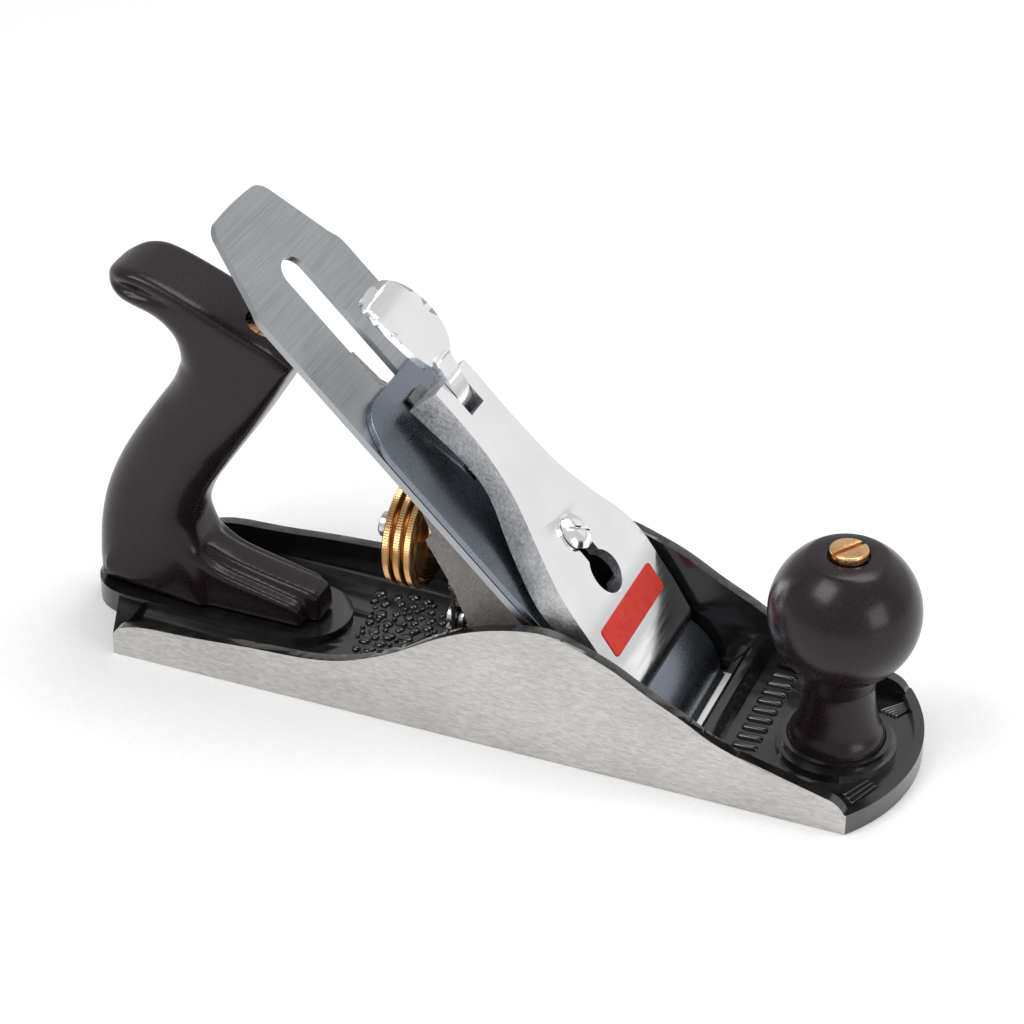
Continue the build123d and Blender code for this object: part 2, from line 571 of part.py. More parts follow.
# ---- lateral adjustment -------------------------------------------------
with BuildPart() as lateral_lever:
    with BuildSketch(bed_face(-1.8)):
        with BuildLine():
            ThreePointArc((T_ROLLER, -4.6), (T_ROLLER - 2.9, 0), (T_ROLLER, 4.6))
            Polyline((T_ROLLER, 4.6), (T_RIVET, 5.0), (119.6, 3.6), (119.6, -3.6), (T_RIVET, -5.0), (T_ROLLER, -4.6))
        make_face()
        with Locations((T_RIVET, 0), (T_ROLLER, 0)):
            Circle(1.55, mode=Mode.SUBTRACT)
    extrude(amount=1.2)
    # arm, cranked away from the iron, with the thumb tab turned down
    with BuildSketch(BED_SIDE):
        Polygon((119.0, -0.6), (119.0, -1.8), (121.0, -1.8), (126.0, -4.4), (135.4, -5.2), (137.2, -11.6), (138.6, -11.4),
                (136.9, -4.1), (126.4, -3.2), (121.4, -0.6), align=None)
    extrude(amount=3.6, both=True)
    with BuildSketch(Plane(origin=(bx(136.7, -9.6), 0, bz(136.7, -9.6)), x_dir=(0, 1, 0), z_dir=(-1, 0, 1))):
        SlotOverall(15.0, 5.0)
    extrude(amount=0.7, both=True)
lateral_lever.part.label = "lateral_lever"

with BuildPart() as lateral_roller:
    with BuildSketch(bed_face(-0.45, T_ROLLER)):
        Circle(3.95)
    extrude(amount=2.1)
    with BuildSketch(bed_face(-1.8, T_ROLLER)):
        Circle(1.5)
    extrude(amount=2.5)
lateral_roller.part.label = "lateral_roller"

with BuildPart() as lateral_rivet:
    with BuildSketch(bed_face(-BED_PLATE - 1.0, T_RIVET)):
        Circle(1.5)
    extrude(amount=BED_PLATE + 0.7)
    with BuildSketch(bed_face(-0.55, T_RIVET)):
        Circle(2.6)
    extrude(amount=0.45)
    with BuildSketch(bed_face(-BED_PLATE - 1.0, T_RIVET)):
        Circle(2.6)
    extrude(amount=0.9)
lateral_rivet.part.label = "lateral_rivet"

# ---- iron and cap iron --------------------------------------------------
T_EDGE = -1.8
with BuildPart() as iron:
    with BuildSketch(bed_face(0.0)):
        with BuildLine():
            Polyline((T_EDGE, -25.0), (158.5, -25.0))
            Spline((158.5, -25.0), (162.6, -24.2), (164.8, -22.9), tangents=((1, 0), (1, 0.48)))
            Polyline((164.8, -22.9), (183.4, -15.6))
            ThreePointArc((183.4, -15.6), (186.6, -13.5), (188.0, -10.0))
            ThreePointArc((188.0, -10.0), (IRON_L, 0.0), (188.0, 10.0))
            ThreePointArc((188.0, 10.0), (186.6, 13.5), (183.4, 15.6))
            Polyline((183.4, 15.6), (164.8, 22.9))
            Spline((164.8, 22.9), (162.6, 24.2), (158.5, 25.0), tangents=((-1, 0.48), (-1, 0)))
            Polyline((158.5, 25.0), (T_EDGE, 25.0), (T_EDGE, -25.0))
        make_face()
        with Locations(((168.4 - 5.2 + 50.0) / 2, 0)):
            SlotCenterToCenter(168.4 - 5.2 - 50.0, 10.4, mode=Mode.SUBTRACT)
        with Locations((50.0, 0)):
            Circle(11.0, mode=Mode.SUBTRACT)
    extrude(amount=IRON_T)
    with BuildSketch(BED_SIDE):
        Polygon((T_EDGE - 1.0, IRON_T - 0.02), (T_EDGE, IRON_T - 0.02), (T_EDGE + 4.4, 0.0), (T_EDGE + 4.4, -1.0), (T_EDGE - 1.0, -1.0),
                align=None)
    extrude(amount=30.0, both=True, mode=Mode.SUBTRACT)
iron.part.label = "iron"

with BuildPart() as cap_iron:
    with BuildSketch(BED_SIDE):
        with BuildLine():
            Line((0.2, 2.05), (0.5, 2.5))
            Spline((0.5, 2.5), (4.0, 4.9), (9.5, 6.6), (14.5, 6.6), (20.0, 5.2), (26.0, 4.05), tangents=((0.7, 0.7), (1, -0.06)))
            Line((26.0, 4.05), (CAP_L, 4.05))
            Line((CAP_L, 4.05), (CAP_L, 2.05))
            Line((CAP_L, 2.05), (24.0, 2.05))
            Spline((24.0, 2.05), (19.0, 3.1), (14.5, 4.4), (9.8, 4.4), (5.0, 2.9), (1.8, 2.05), tangents=((-1, 0.04), (-0.9, -0.4)))
            Line((1.8, 2.05), (0.2, 2.05))
        make_face()
    extrude(amount=30.0, both=True)
    with BuildSketch(bed_face(0.0)):
        with BuildLine():
            Polyline((-1.0, -24.8), (111.0, -24.8))
            Spline((111.0, -24.8), (119.0, -22.4), (123.8, -18.0), tangents=((1, 0.03), (0.45, 1)))
            ThreePointArc((123.8, -18.0), (124.9, -15.4), (125.3, -12.0))
            Line((125.3, -12.0), (125.3, 12.0))
            ThreePointArc((125.3, 12.0), (124.9, 15.4), (123.8, 18.0))
            Spline((123.8, 18.0), (119.0, 22.4), (111.0, 24.8), tangents=((-0.45, 1), (-1, 0.03)))
            Polyline((111.0, 24.8), (-1.0, 24.8), (-1.0, -24.8))
        make_face()
    extrude(amount=12.0, mode=Mode.INTERSECT)
    with BuildSketch(bed_face(0.0)):
        with Locations((61.5, 0)):
            SlotCenterToCenter(6.0, 9.6)
        with Locations((T_CIS, 0)):
            Circle(3.05)
        with Locations((92.6, 0)):
            Rectangle(5.2, 8.6)
    extrude(amount=12.0, mode=Mode.SUBTRACT)
cap_iron.part.label = "cap_iron"

with BuildPart() as cap_iron_screw:
    with BuildSketch(bed_face(-3.3, T_CIS)):
        Circle(7.6)
    extrude(amount=3.25)
    with BuildSketch(bed_face(-3.3, T_CIS)):
        Circle(3.0)
    extrude(amount=7.6)
    chamfer(cap_iron_screw.edges().filter_by(GeomType.CIRCLE).group_by(SortBy.RADIUS)[-1], length=0.4)
    with BuildSketch(Plane(origin=(bx(T_CIS, -4.0), 0, bz(T_CIS, -4.0)), x_dir=(-1, 0, 1), z_dir=(1, 0, 1))):
        Rectangle(1.6, 20.0)
    extrude(amount=1.8, mode=Mode.SUBTRACT)
cap_iron_screw.part.label = "cap_iron_screw"

# ---- lever cap ----------------------------------------------------------
with BuildPart() as lever_cap_screw:
    with BuildSketch(bed_face(-13.0, T_LCS)):
        Circle(2.5)
    extrude(amount=14.0)
    with BuildSketch(bed_face(0.3, T_LCS)):
        Circle(3.0)
    extrude(amount=14.6)
    with BuildSketch(Plane(origin=(bx(T_LCS, 14.75), 0, bz(T_LCS, 14.75)), x_dir=(-1, 0, 1), z_dir=(0, 1, 0))):
        with BuildLine():
            Line((0, 0), (5.2, 0))
            Line((5.2, 0), (5.2, 0.9))
            ThreePointArc((5.2, 0.9), (3.0, 2.2), (0, 2.7))
            Line((0, 2.7), (0, 0))
        make_face()
    revolve(axis=Axis((bx(T_LCS, 0), 0, bz(T_LCS, 0)), (1, 0, 1)))
    with BuildSketch(Plane(origin=(bx(T_LCS, 16.3), 0, bz(T_LCS, 16.3)), x_dir=(-0.6, -0.9, 0.6), z_dir=(1, 0, 1))):
        Rectangle(14.0, 1.1)
    extrude(amount=3.0, mode=Mode.SUBTRACT)
lever_cap_screw.part.label = "lever_cap_screw"

cap_face = [(18.2, 7.5), (20.0, 8.6), (24.0, 9.7), (29.0, 11.0)]
with BuildPart() as lever_cap:
    with BuildSketch(BED_SIDE):
        with BuildLine():
            Line((17.4, 6.75), (18.2, 7.5))
            Spline(*cap_face[0:4], tangents=((0.7, 0.7), (0.93, 0.24)))
            Line(cap_face[3], (41.0, 13.1))
            Spline((41.0, 13.1), (47.0, 13.9), (54.0, 14.3), (64.0, 14.6), (72.0, 15.2), (80.0, 16.1), (88.0, 17.0), (96.0, 17.5), (116.4, 17.8),
                   tangents=((0.985, 0.172), (1, 0)))
            Line((116.4, 17.8), (116.8, 7.4))
            Spline((116.8, 7.4), (107.0, 8.6), (95.0, 10.0), (86.0, 9.6), (77.0, 7.4), (68.0, 6.0), (56.0, 5.6), (47.0, 6.6), (38.0, 8.6), (28.0, 8.3), (21.5, 7.0), (17.4, 6.75),
                   tangents=((-1, 0.12), (-1, 0.0)))
        make_face()
    extrude(amount=26.0, both=True)
    with BuildSketch(bed_face(0.0)):
        with BuildLine():
            Line((16.0, -24.3), (44.0, -24.4))
            Spline((44.0, -24.4), (50.0, -23.9), (56.0, -22.4), (63.0, -19.4), (70.0, -16.4), (78.0, -13.3), (87.0, -11.1), (97.0, -10.0), (119.0, -9.8),
                   tangents=((1, 0.0), (1, 0)))
            Line((119.0, -9.8), (119.0, 9.8))
            Spline((119.0, 9.8), (97.0, 10.0), (87.0, 11.1), (78.0, 13.3), (70.0, 16.4), (63.0, 19.4), (56.0, 22.4), (50.0, 23.9), (44.0, 24.4),
                   tangents=((-1, 0), (-1, 0)))
            Line((44.0, 24.4), (16.0, 24.3))
            Line((16.0, 24.3), (16.0, -24.3))
        make_face()
    extrude(amount=30.0, mode=Mode.INTERSECT)
    # hollow underside between the side walls
    with BuildSketch(bed_face(0.0)):
        with BuildLine():
            Line((44.0, -21.0), (44.0, 21.0))
            Spline((44.0, 21.0), (50.0, 20.6), (56.0, 18.9), (63.0, 15.9), (70.0, 13.2), (78.0, 10.2), (87.0, 8.3), (92.0, 7.7),
                   tangents=((1, 0), (1, -0.12)))
            Line((92.0, 7.7), (92.0, -7.7))
            Spline((92.0, -7.7), (87.0, -8.3), (78.0, -10.2), (70.0, -13.2), (63.0, -15.9), (56.0, -18.9), (50.0, -20.6), (44.0, -21.0),
                   tangents=((-1, -0.12), (-1, 0)))
        make_face()
    extrude(amount=10.9, mode=Mode.SUBTRACT)
    # cam slot
    with BuildSketch(bed_face(0.0)):
        with Locations((114.55, 0)):
            Rectangle(18.9, 8.1)
    extrude(amount=30.0, mode=Mode.SUBTRACT)
    # keyhole
    with BuildSketch(bed_face(0.0)):
        with Locations((48.4, 0)):
            Circle(6.4)
        with Locations(((48.4 + T_LCS) / 2, 0)):
            SlotCenterToCenter(T_LCS - 48.4, 6.9)
    extrude(amount=30.0, mode=Mode.SUBTRACT)
    with BuildSketch(bed_face(14.62, T_LCS)):              # seat for the screw's head
        Circle(5.8)
    extrude(amount=8.0, mode=Mode.SUBTRACT)
    with BuildSketch(side_at(T_CAM, N_CAM, -20.0)):
        Circle(1.6)
    extrude(amount=40.0, mode=Mode.SUBTRACT)
    with BuildSketch(bed_face(8.0, 97.0)):
        Circle(1.3)
    extrude(amount=6.0, mode=Mode.SUBTRACT)
lever_cap.part.label = "lever_cap"

with BuildPart() as name_label:
    with BuildSketch(BED_SIDE):
        Polygon((31.0, 11.0 + (31.0 - 29.0) * 0.175 + 0.02), (39.6, 11.0 + (39.6 - 29.0) * 0.175 + 0.02),
                (39.6, 11.0 + (39.6 - 29.0) * 0.175 + 0.32), (31.0, 11.0 + (31.0 - 29.0) * 0.175 + 0.32), align=None)
    extrude(amount=18.2, both=True)
    fillet(name_label.edges().filter_by(lambda e: e.length < 0.5), radius=1.2)
name_label.part.label = "name_label"

with BuildPart() as lever_cap_spring:
    with BuildSketch(BED_SIDE):
        with BuildLine():
            Line((93.6, 9.9), (93.6, 9.1))
            Line((93.6, 9.1), (99.6, 8.5))
            Spline((99.6, 8.5), (106.0, 6.9), (111.0, 5.7), (116.0, 4.9), (119.0, 5.0), tangents=((1, -0.1), (1, 0.2)))
            Line((119.0, 5.0), (119.0, 5.7))
            Spline((119.0, 5.7), (116.0, 5.6), (111.0, 6.4), (106.0, 7.6), (99.6, 9.2), tangents=((-1, -0.2), (-1, 0.1)))
            Line((99.6, 9.2), (93.6, 9.9))
        make_face()
    extrude(amount=4.0, both=True)
    with BuildSketch(bed_face(8.0, 97.0)):
        Circle(1.3)
    extrude(amount=6.0, mode=Mode.SUBTRACT)
lever_cap_spring.part.label = "lever_cap_spring"

with BuildPart() as spring_rivet:
    with BuildSketch(bed_face(8.1, 97.0)):
        Circle(1.25)
    extrude(amount=5.6)
    with BuildSketch(bed_face(7.7, 97.0)):
        Circle(2.2)
    extrude(amount=0.75)
spring_rivet.part.label = "spring_rivet"

with BuildPart() as cam_pin:
    with BuildSketch(side_at(T_CAM, N_CAM, -9.9)):
        Circle(1.55)
    extrude(amount=19.8)
cam_pin.part.label = "cam_pin"

with BuildPart() as cam_lever:
    # cam and its neck, between the lever cap's ears
    with BuildSketch(BED_SIDE):
        with BuildLine():
            Spline((T_CAM - 6.0, N_CAM), (T_CAM - 4.5, N_CAM - 4.1), (T_CAM, N_CAM - 6.3), (T_CAM + 3.4, N_CAM - 4.4), (T_CAM + 4.6, N_CAM),
                   tangents=((0, -1), (0.15, 1)))
            Spline((T_CAM + 4.6, N_CAM), (118.9, 15.8), (121.6, 18.2), tangents=((0.15, 1), (0.8, 0.5)))
            Line((121.6, 18.2), (121.6, 20.3))
            Line((121.6, 20.3), (118.4, 19.7))
            Spline((118.4, 19.7), (113.4, 18.5), (108.9, 16.7), (T_CAM - 6.0, N_CAM), tangents=((-1, -0.24), (0, -1)))
        make_face()
    extrude(amount=3.8, both=True)
    # thumb plate, bending down to its tip
    with BuildSketch(BED_SIDE):
        with BuildLine():
            Spline((118.2, 17.6), (126.0, 18.5), (133.0, 18.6), (138.2, 18.1), (143.4, 16.8), (147.7, 15.2), tangents=((1, 0.16), (0.92, -0.39)))
            Line((147.7, 15.2), (148.3, 16.8))
            Spline((148.3, 16.8), (143.8, 18.7), (138.4, 20.1), (133.0, 20.7), (125.4, 20.6), (117.0, 19.5), tangents=((-0.92, 0.39), (-1, -0.2)))
            Line((117.0, 19.5), (118.2, 17.6))
        make_face()
    extrude(amount=14.0, both=True)
    # only the plate's outline is kept; the hub lies inside it
    with BuildSketch(bed_face(0.0)):
        with BuildLine():
            Line((104.0, -3.8), (119.6, -3.8))
            Spline((119.6, -3.8), (122.4, -5.8), (126.4, -8.8), (132.0, -10.1), (140.0, -10.0), (145.9, -7.6), (148.2, 0.0),
                   tangents=((1, -0.1), (0, 1)))
            Spline((148.2, 0.0), (145.9, 7.6), (140.0, 10.0), (132.0, 10.1), (126.4, 8.8), (122.4, 5.8), (119.6, 3.8),
                   tangents=((0, 1), (-1, -0.1)))
            Line((119.6, 3.8), (104.0, 3.8))
            Line((104.0, 3.8), (104.0, -3.8))
        make_face()
    extrude(amount=40.0, mode=Mode.INTERSECT)
    with BuildSketch(side_at(T_CAM, N_CAM, -20.0)):
        Circle(1.6)
    extrude(amount=40.0, mode=Mode.SUBTRACT)
cam_lever.part.label = "cam_lever"

# ---- one STEP per piece -------------------------------------------------
os.makedirs("parts", exist_ok=True)
export_step(sole_casting.part, "parts/sole_casting.step")
export_step(knob.part, "parts/knob.step")
export_step(knob_rod.part, "parts/knob_rod.step")
export_step(knob_nut.part, "parts/knob_nut.step")
export_step(tote.part, "parts/tote.step")
export_step(tote_rod.part, "parts/tote_rod.step")
export_step(tote_nut.part, "parts/tote_nut.step")
export_step(frog.part, "parts/frog.step")
export_step(frog_screws.part, "parts/frog_screws.step")
export_step(frog_screw_washers.part, "parts/frog_screw_washers.step")
export_step(frog_adjusting_screw.part, "parts/frog_adjusting_screw.step")
export_step(frog_adjusting_clip.part, "parts/frog_adjusting_clip.step")
export_step(clip_screw.part, "parts/clip_screw.step")
export_step(depth_stud.part, "parts/depth_stud.step")
export_step(depth_wheel.part, "parts/depth_wheel.step")
export_step(yoke.part, "parts/yoke.step")
export_step(yoke_pin.part, "parts/yoke_pin.step")
export_step(lateral_lever.part, "parts/lateral_lever.step")
export_step(lateral_roller.part, "parts/lateral_roller.step")
export_step(lateral_rivet.part, "parts/lateral_rivet.step")
export_step(iron.part, "parts/iron.step")
export_step(cap_iron.part, "parts/cap_iron.step")
export_step(cap_iron_screw.part, "parts/cap_iron_screw.step")
export_step(lever_cap_screw.part, "parts/lever_cap_screw.step")
export_step(lever_cap.part, "parts/lever_cap.step")
export_step(name_label.part, "parts/name_label.step")
export_step(lever_cap_spring.part, "parts/lever_cap_spring.step")
export_step(spring_rivet.part, "parts/spring_rivet.step")
export_step(cam_pin.part, "parts/cam_pin.step")
export_step(cam_lever.part, "parts/cam_lever.step")
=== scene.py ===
import json
import math
import random

import bmesh
import bpy
from mathutils import Matrix, Vector

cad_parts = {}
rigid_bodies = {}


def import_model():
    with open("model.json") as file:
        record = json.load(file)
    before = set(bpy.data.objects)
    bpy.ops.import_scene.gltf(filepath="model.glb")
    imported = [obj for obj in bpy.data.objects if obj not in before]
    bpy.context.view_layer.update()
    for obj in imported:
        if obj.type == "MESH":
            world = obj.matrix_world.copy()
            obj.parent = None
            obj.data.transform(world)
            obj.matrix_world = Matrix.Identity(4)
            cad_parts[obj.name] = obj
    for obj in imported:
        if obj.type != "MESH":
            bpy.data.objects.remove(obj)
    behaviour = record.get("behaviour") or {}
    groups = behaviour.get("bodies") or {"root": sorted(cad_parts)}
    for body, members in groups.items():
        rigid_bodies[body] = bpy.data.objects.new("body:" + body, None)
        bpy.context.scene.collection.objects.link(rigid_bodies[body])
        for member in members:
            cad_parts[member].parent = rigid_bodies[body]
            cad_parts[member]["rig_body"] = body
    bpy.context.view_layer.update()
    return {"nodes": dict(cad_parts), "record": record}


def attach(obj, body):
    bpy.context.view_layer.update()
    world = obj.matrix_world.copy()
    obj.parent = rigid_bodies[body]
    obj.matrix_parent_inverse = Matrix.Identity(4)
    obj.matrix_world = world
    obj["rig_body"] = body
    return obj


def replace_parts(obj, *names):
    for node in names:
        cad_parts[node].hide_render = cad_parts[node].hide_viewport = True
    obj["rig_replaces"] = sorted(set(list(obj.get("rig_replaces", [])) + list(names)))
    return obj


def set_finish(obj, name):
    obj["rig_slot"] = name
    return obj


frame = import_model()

nodes = frame["nodes"]
R2 = math.sqrt(2.0)
MM = 0.001


def bed(t, n, y=0.0):
    """Bed coordinates (up the bed, off it), mm, as a point in metres."""
    return Vector(((57.0 + (n - t) / R2) * MM, y * MM, (t + n) / R2 * MM))


# ------------------------------------------------------------------ materials
class Mat:
    """A node material with a few helpers."""

    def __init__(self, name):
        self.m = bpy.data.materials.new(name)
        self.m.use_nodes = True
        self.t = self.m.node_tree
        self.b = self.t.nodes["Principled BSDF"]
        self.co = self.t.nodes.new("ShaderNodeTexCoord")

    def node(self, kind, **props):
        n = self.t.nodes.new(kind)
        for k, v in props.items():
            setattr(n, k, v)
        return n

    def link(self, a, b):
        self.t.links.new(a, b)

    def set(self, **v):
        for k, x in v.items():
            self.b.inputs[k.replace("_", " ")].default_value = x
        return self

    def coords(self, scale, rot=None):
        src = self.co.outputs["Object"]
        if rot is not None:
            r = self.node("ShaderNodeMapping")
            r.inputs["Rotation"].default_value = rot
            self.link(src, r.inputs["Vector"])
            src = r.outputs[0]
        m = self.node("ShaderNodeMapping")
        m.inputs["Scale"].default_value = scale
        self.link(src, m.inputs["Vector"])
        return m.outputs[0]

    def noise(self, vec, scale=1.0, detail=4.0, rough=0.55, dist=0.0):
        n = self.node("ShaderNodeTexNoise")
        n.inputs["Scale"].default_value = scale
        n.inputs["Detail"].default_value = detail
        n.inputs["Roughness"].default_value = rough
        n.inputs["Distortion"].default_value = dist
        self.link(vec, n.inputs["Vector"])
        return n.outputs["Fac"]

    def ramp(self, fac, stops):
        r = self.node("ShaderNodeValToRGB")
        e = r.color_ramp.elements
        while len(e) < len(stops):
            e.new(0.5)
        for i, (p, c) in enumerate(stops):
            e[i].position = p
            e[i].color = (*c, 1.0) if len(c) == 3 else c
        self.link(fac, r.inputs["Fac"])
        return r.outputs["Color"]

    def range(self, fac, a, b, lo=0.3, hi=0.7):
        r = self.node("ShaderNodeMapRange")
        for i, v in ((1, lo), (2, hi), (3, a), (4, b)):
            r.inputs[i].default_value = v
        self.link(fac, r.inputs[0])
        return r.outputs[0]

    def mix(self, fac, a, b, kind="MIX"):
        m = self.node("ShaderNodeMix", data_type="RGBA", blend_type=kind)
        for sock, v in ((m.inputs[0], fac), (m.inputs[6], a), (m.inputs[7], b)):
            if hasattr(v, "links"):
                self.link(v, sock)
            else:
                sock.default_value = v if isinstance(v, float) else (*v, 1.0)
        return m.outputs[2]

    def math(self, op, a, b=None):
        m = self.node("ShaderNodeMath", operation=op)
        for i, v in enumerate((a, b)):
            if v is None:
                continue
            if hasattr(v, "links"):
                self.link(v, m.inputs[i])
            else:
                m.inputs[i].default_value = v
        return m.outputs[0]

    def color(self, s):
        self.link(s, self.b.inputs["Base Color"])

    def rough(self, s):
        self.link(s, self.b.inputs["Roughness"])

    def bump(self, *layers):
        prev = None
        for height, dist, strength in layers:
            b = self.node("ShaderNodeBump")
            b.inputs["Distance"].default_value = dist
            b.inputs["Strength"].default_value = strength
            self.link(height, b.inputs["Height"])
            if prev:
                self.link(prev, b.inputs["Normal"])
            prev = b.outputs[0]
        self.link(prev, self.b.inputs["Normal"])


def ground_metal(name, dark, light, scale, rot=None, r=(0.3, 0.5), depth=0.00003, metallic=1.0, blotch=0.12):
    m = Mat(name)
    m.set(Metallic=metallic)
    lines = m.noise(m.coords(scale, rot), 1.0, 6.0, 0.65)
    big = m.noise(m.coords((38.0, 38.0, 38.0)), 1.0, 3.0, 0.5)
    col = m.ramp(lines, [(0.28, dark), (0.72, light)])
    shade = m.ramp(big, [(0.3, (1 - blotch,) * 3), (0.7, (1.0, 1.0, 1.0))])
    m.color(m.mix(1.0, col, shade, "MULTIPLY"))
    m.rough(m.range(lines, r[0], r[1]))
    m.bump((lines, depth, 0.6))
    return m.m


def cast_metal(name, dark, light, r=(0.35, 0.6), metallic=0.0, grain=1500.0, depth=0.00016, specular=0.5, coat=0.0):
    m = Mat(name)
    m.set(Metallic=metallic, Specular_IOR_Level=specular, Coat_Weight=coat, Coat_Roughness=0.16)
    v = m.coords((1.0, 1.0, 1.0))
    fine = m.noise(v, grain, 5.0, 0.6)
    wide = m.noise(v, 120.0, 4.0, 0.55)
    both = m.math("ADD", m.math("MULTIPLY", fine, 0.6), m.math("MULTIPLY", wide, 0.4))
    m.color(m.ramp(both, [(0.35, dark), (0.65, light)]))
    m.rough(m.range(both, r[0], r[1], 0.35, 0.65))
    m.bump((wide, depth * 2.0, 0.35), (fine, depth, 0.5))
    return m.m


M = {}
M["cheek"] = ground_metal("ground_iron", (0.42, 0.41, 0.40), (0.72, 0.71, 0.69), (420.0, 900.0, 1700.0), r=(0.36, 0.52), depth=0.00003, metallic=0.85)
M["sole"] = ground_metal("ground_sole", (0.44, 0.43, 0.41), (0.62, 0.60, 0.58), (26.0, 2200.0, 900.0), r=(0.28, 0.42), depth=0.00003, metallic=0.9)
M["blade"] = ground_metal("blade_steel", (0.33, 0.34, 0.355), (0.46, 0.475, 0.495), (2600.0, 40.0, 2600.0), r=(0.26, 0.38), depth=0.00001)
M["cap_iron"] = ground_metal("cap_iron_steel", (0.20, 0.22, 0.255), (0.275, 0.30, 0.345), (24.0, 1900.0, 1900.0), rot=(0.0, math.radians(45.0), 0.0), r=(0.22, 0.36), depth=0.00002)
M["zinc"] = ground_metal("plated_steel", (0.60, 0.60, 0.59), (0.80, 0.80, 0.79), (900.0, 900.0, 900.0), r=(0.20, 0.36), depth=0.00002)
M["dark_steel"] = ground_metal("dark_steel", (0.20, 0.20, 0.20), (0.36, 0.355, 0.35), (700.0, 700.0, 700.0), r=(0.28, 0.45), depth=0.00003)
M["bed_face"] = ground_metal("bed_machined", (0.40, 0.395, 0.39), (0.60, 0.59, 0.58), (1400.0, 30.0, 1400.0), r=(0.3, 0.45), depth=0.00003, metallic=0.9)
M["cast_side"] = cast_metal("cap_cast_side", (0.33, 0.33, 0.34), (0.72, 0.72, 0.73), r=(0.28, 0.50), metallic=0.95, grain=1100.0, depth=0.00030)
M["frog"] = cast_metal("frog_enamel", (0.105, 0.095, 0.092), (0.215, 0.198, 0.19), r=(0.32, 0.52), grain=1300.0, depth=0.00020)


def japan(name, dark, light, r=(0.13, 0.26), peel=0.00012):
    m = Mat(name)
    m.set(Specular_IOR_Level=0.55, Coat_Weight=0.55, Coat_Roughness=0.09, Coat_IOR=1.5)
    v = m.coords((1.0, 1.0, 1.0))
    wide = m.noise(v, 210.0, 3.0, 0.5)
    fine = m.noise(v, 1500.0, 3.0, 0.5)
    m.color(m.ramp(wide, [(0.3, dark), (0.75, light)]))
    m.rough(m.range(wide, r[0], r[1]))
    m.bump((wide, peel, 0.5), (fine, peel * 0.35, 0.35))
    return m.m


M["japan"] = japan("japan_black", (0.006, 0.0056, 0.006), (0.014, 0.013, 0.013))
M["japan_edge"] = japan("japan_outer", (0.028, 0.027, 0.027), (0.055, 0.053, 0.052), r=(0.24, 0.42), peel=0.0002)


def worn():
    """Enamel worn thin on an edge: patches of bright iron in dark paint."""
    m = Mat("worn_edge")
    v = m.coords((1.0, 1.0, 1.0))
    n = m.noise(v, 260.0, 6.0, 0.65)
    fac = m.ramp(n, [(0.42, (0.0, 0.0, 0.0)), (0.56, (1.0, 1.0, 1.0))])
    m.color(m.mix(fac, (0.05, 0.048, 0.047), (0.62, 0.605, 0.58)))
    m.link(fac, m.b.inputs["Metallic"])
    m.rough(m.range(n, 0.22, 0.42))
    m.bump((n, 0.00005, 0.5))
    return m.m


M["worn"] = worn()


def chrome():
    m = Mat("chrome_face")
    m.set(Metallic=1.0)
    v = m.coords((1.0, 1.0, 1.0))
    wide = m.noise(v, 60.0, 3.0, 0.5)
    fine = m.noise(m.coords((1300.0, 60.0, 1300.0)), 1.0, 4.0, 0.6)
    m.color(m.ramp(wide, [(0.3, (0.88, 0.88, 0.895)), (0.7, (0.96, 0.96, 0.97))]))
    m.rough(m.range(fine, 0.10, 0.20))
    m.bump((wide, 0.0003, 0.12), (fine, 0.00001, 0.3))
    return m.m


M["chrome"] = chrome()


def brass(name, centre=None, dark=(0.62, 0.40, 0.13), light=(0.90, 0.66, 0.29)):
    """Turned brass, with tool rings about an axis along X when a centre (y, z) is given."""
    m = Mat(name)
    m.set(Metallic=1.0)
    if centre is not None:
        s = m.node("ShaderNodeSeparateXYZ")
        m.link(m.co.outputs["Object"], s.inputs[0])
        dy = m.math("SUBTRACT", s.outputs[1], centre[0])
        dz = m.math("SUBTRACT", s.outputs[2], centre[1])
        rr = m.math("SQRT", m.math("ADD", m.math("MULTIPLY", dy, dy), m.math("MULTIPLY", dz, dz)))
        c = m.node("ShaderNodeCombineXYZ")
        m.link(m.math("MULTIPLY", s.outputs[0], 3200.0), c.inputs[0])
        m.link(m.math("MULTIPLY", rr, 3200.0), c.inputs[1])
        lines = m.noise(c.outputs[0], 1.0, 3.0, 0.5)
    else:
        lines = m.noise(m.coords((1400.0, 1400.0, 1400.0)), 1.0, 4.0, 0.6)
    wide = m.noise(m.coords((170.0, 170.0, 170.0)), 1.0, 4.0, 0.55)
    tint = m.ramp(wide, [(0.32, dark), (0.62, light)])
    m.color(m.mix(0.22, tint, m.ramp(lines, [(0.3, dark), (0.7, light)])))
    m.rough(m.range(lines, 0.18, 0.36))
    m.bump((lines, 0.00003, 0.5))
    return m.m


M["brass"] = brass("brass_plain", None, (0.52, 0.27, 0.11), (0.86, 0.54, 0.27))
M["brass_wheel"] = brass("brass_turned", (0.0, 0.043), (0.44, 0.24, 0.10), (0.80, 0.50, 0.23))
# a darker, redder copy of the turned brass for the wheel's hub: painted shade for the shadow between the ridges and the
# yoke
M["brass_hub_painted_shade"] = brass("brass_hub_painted_shade", (0.0, 0.043), (0.42, 0.20, 0.08), (0.70, 0.40, 0.19))


def plastic():
    m = Mat("moulded_plastic")
    m.set(Specular_IOR_Level=0.26, Coat_Weight=0.10, Coat_Roughness=0.12)
    v = m.coords((1.0, 1.0, 1.0))
    fine = m.noise(v, 1900.0, 3.0, 0.6)
    wide = m.noise(v, 46.0, 4.0, 0.5)
    speck = m.ramp(fine, [(0.35, (0.0060, 0.0032, 0.0046)), (0.70, (0.015, 0.0085, 0.0120))])
    m.color(m.mix(m.range(wide, 0.0, 0.30), speck, (0.022, 0.015, 0.019)))
    m.rough(m.range(fine, 0.20, 0.32))
    m.bump((wide, 0.0003, 0.10), (fine, 0.00004, 0.5))
    return m.m


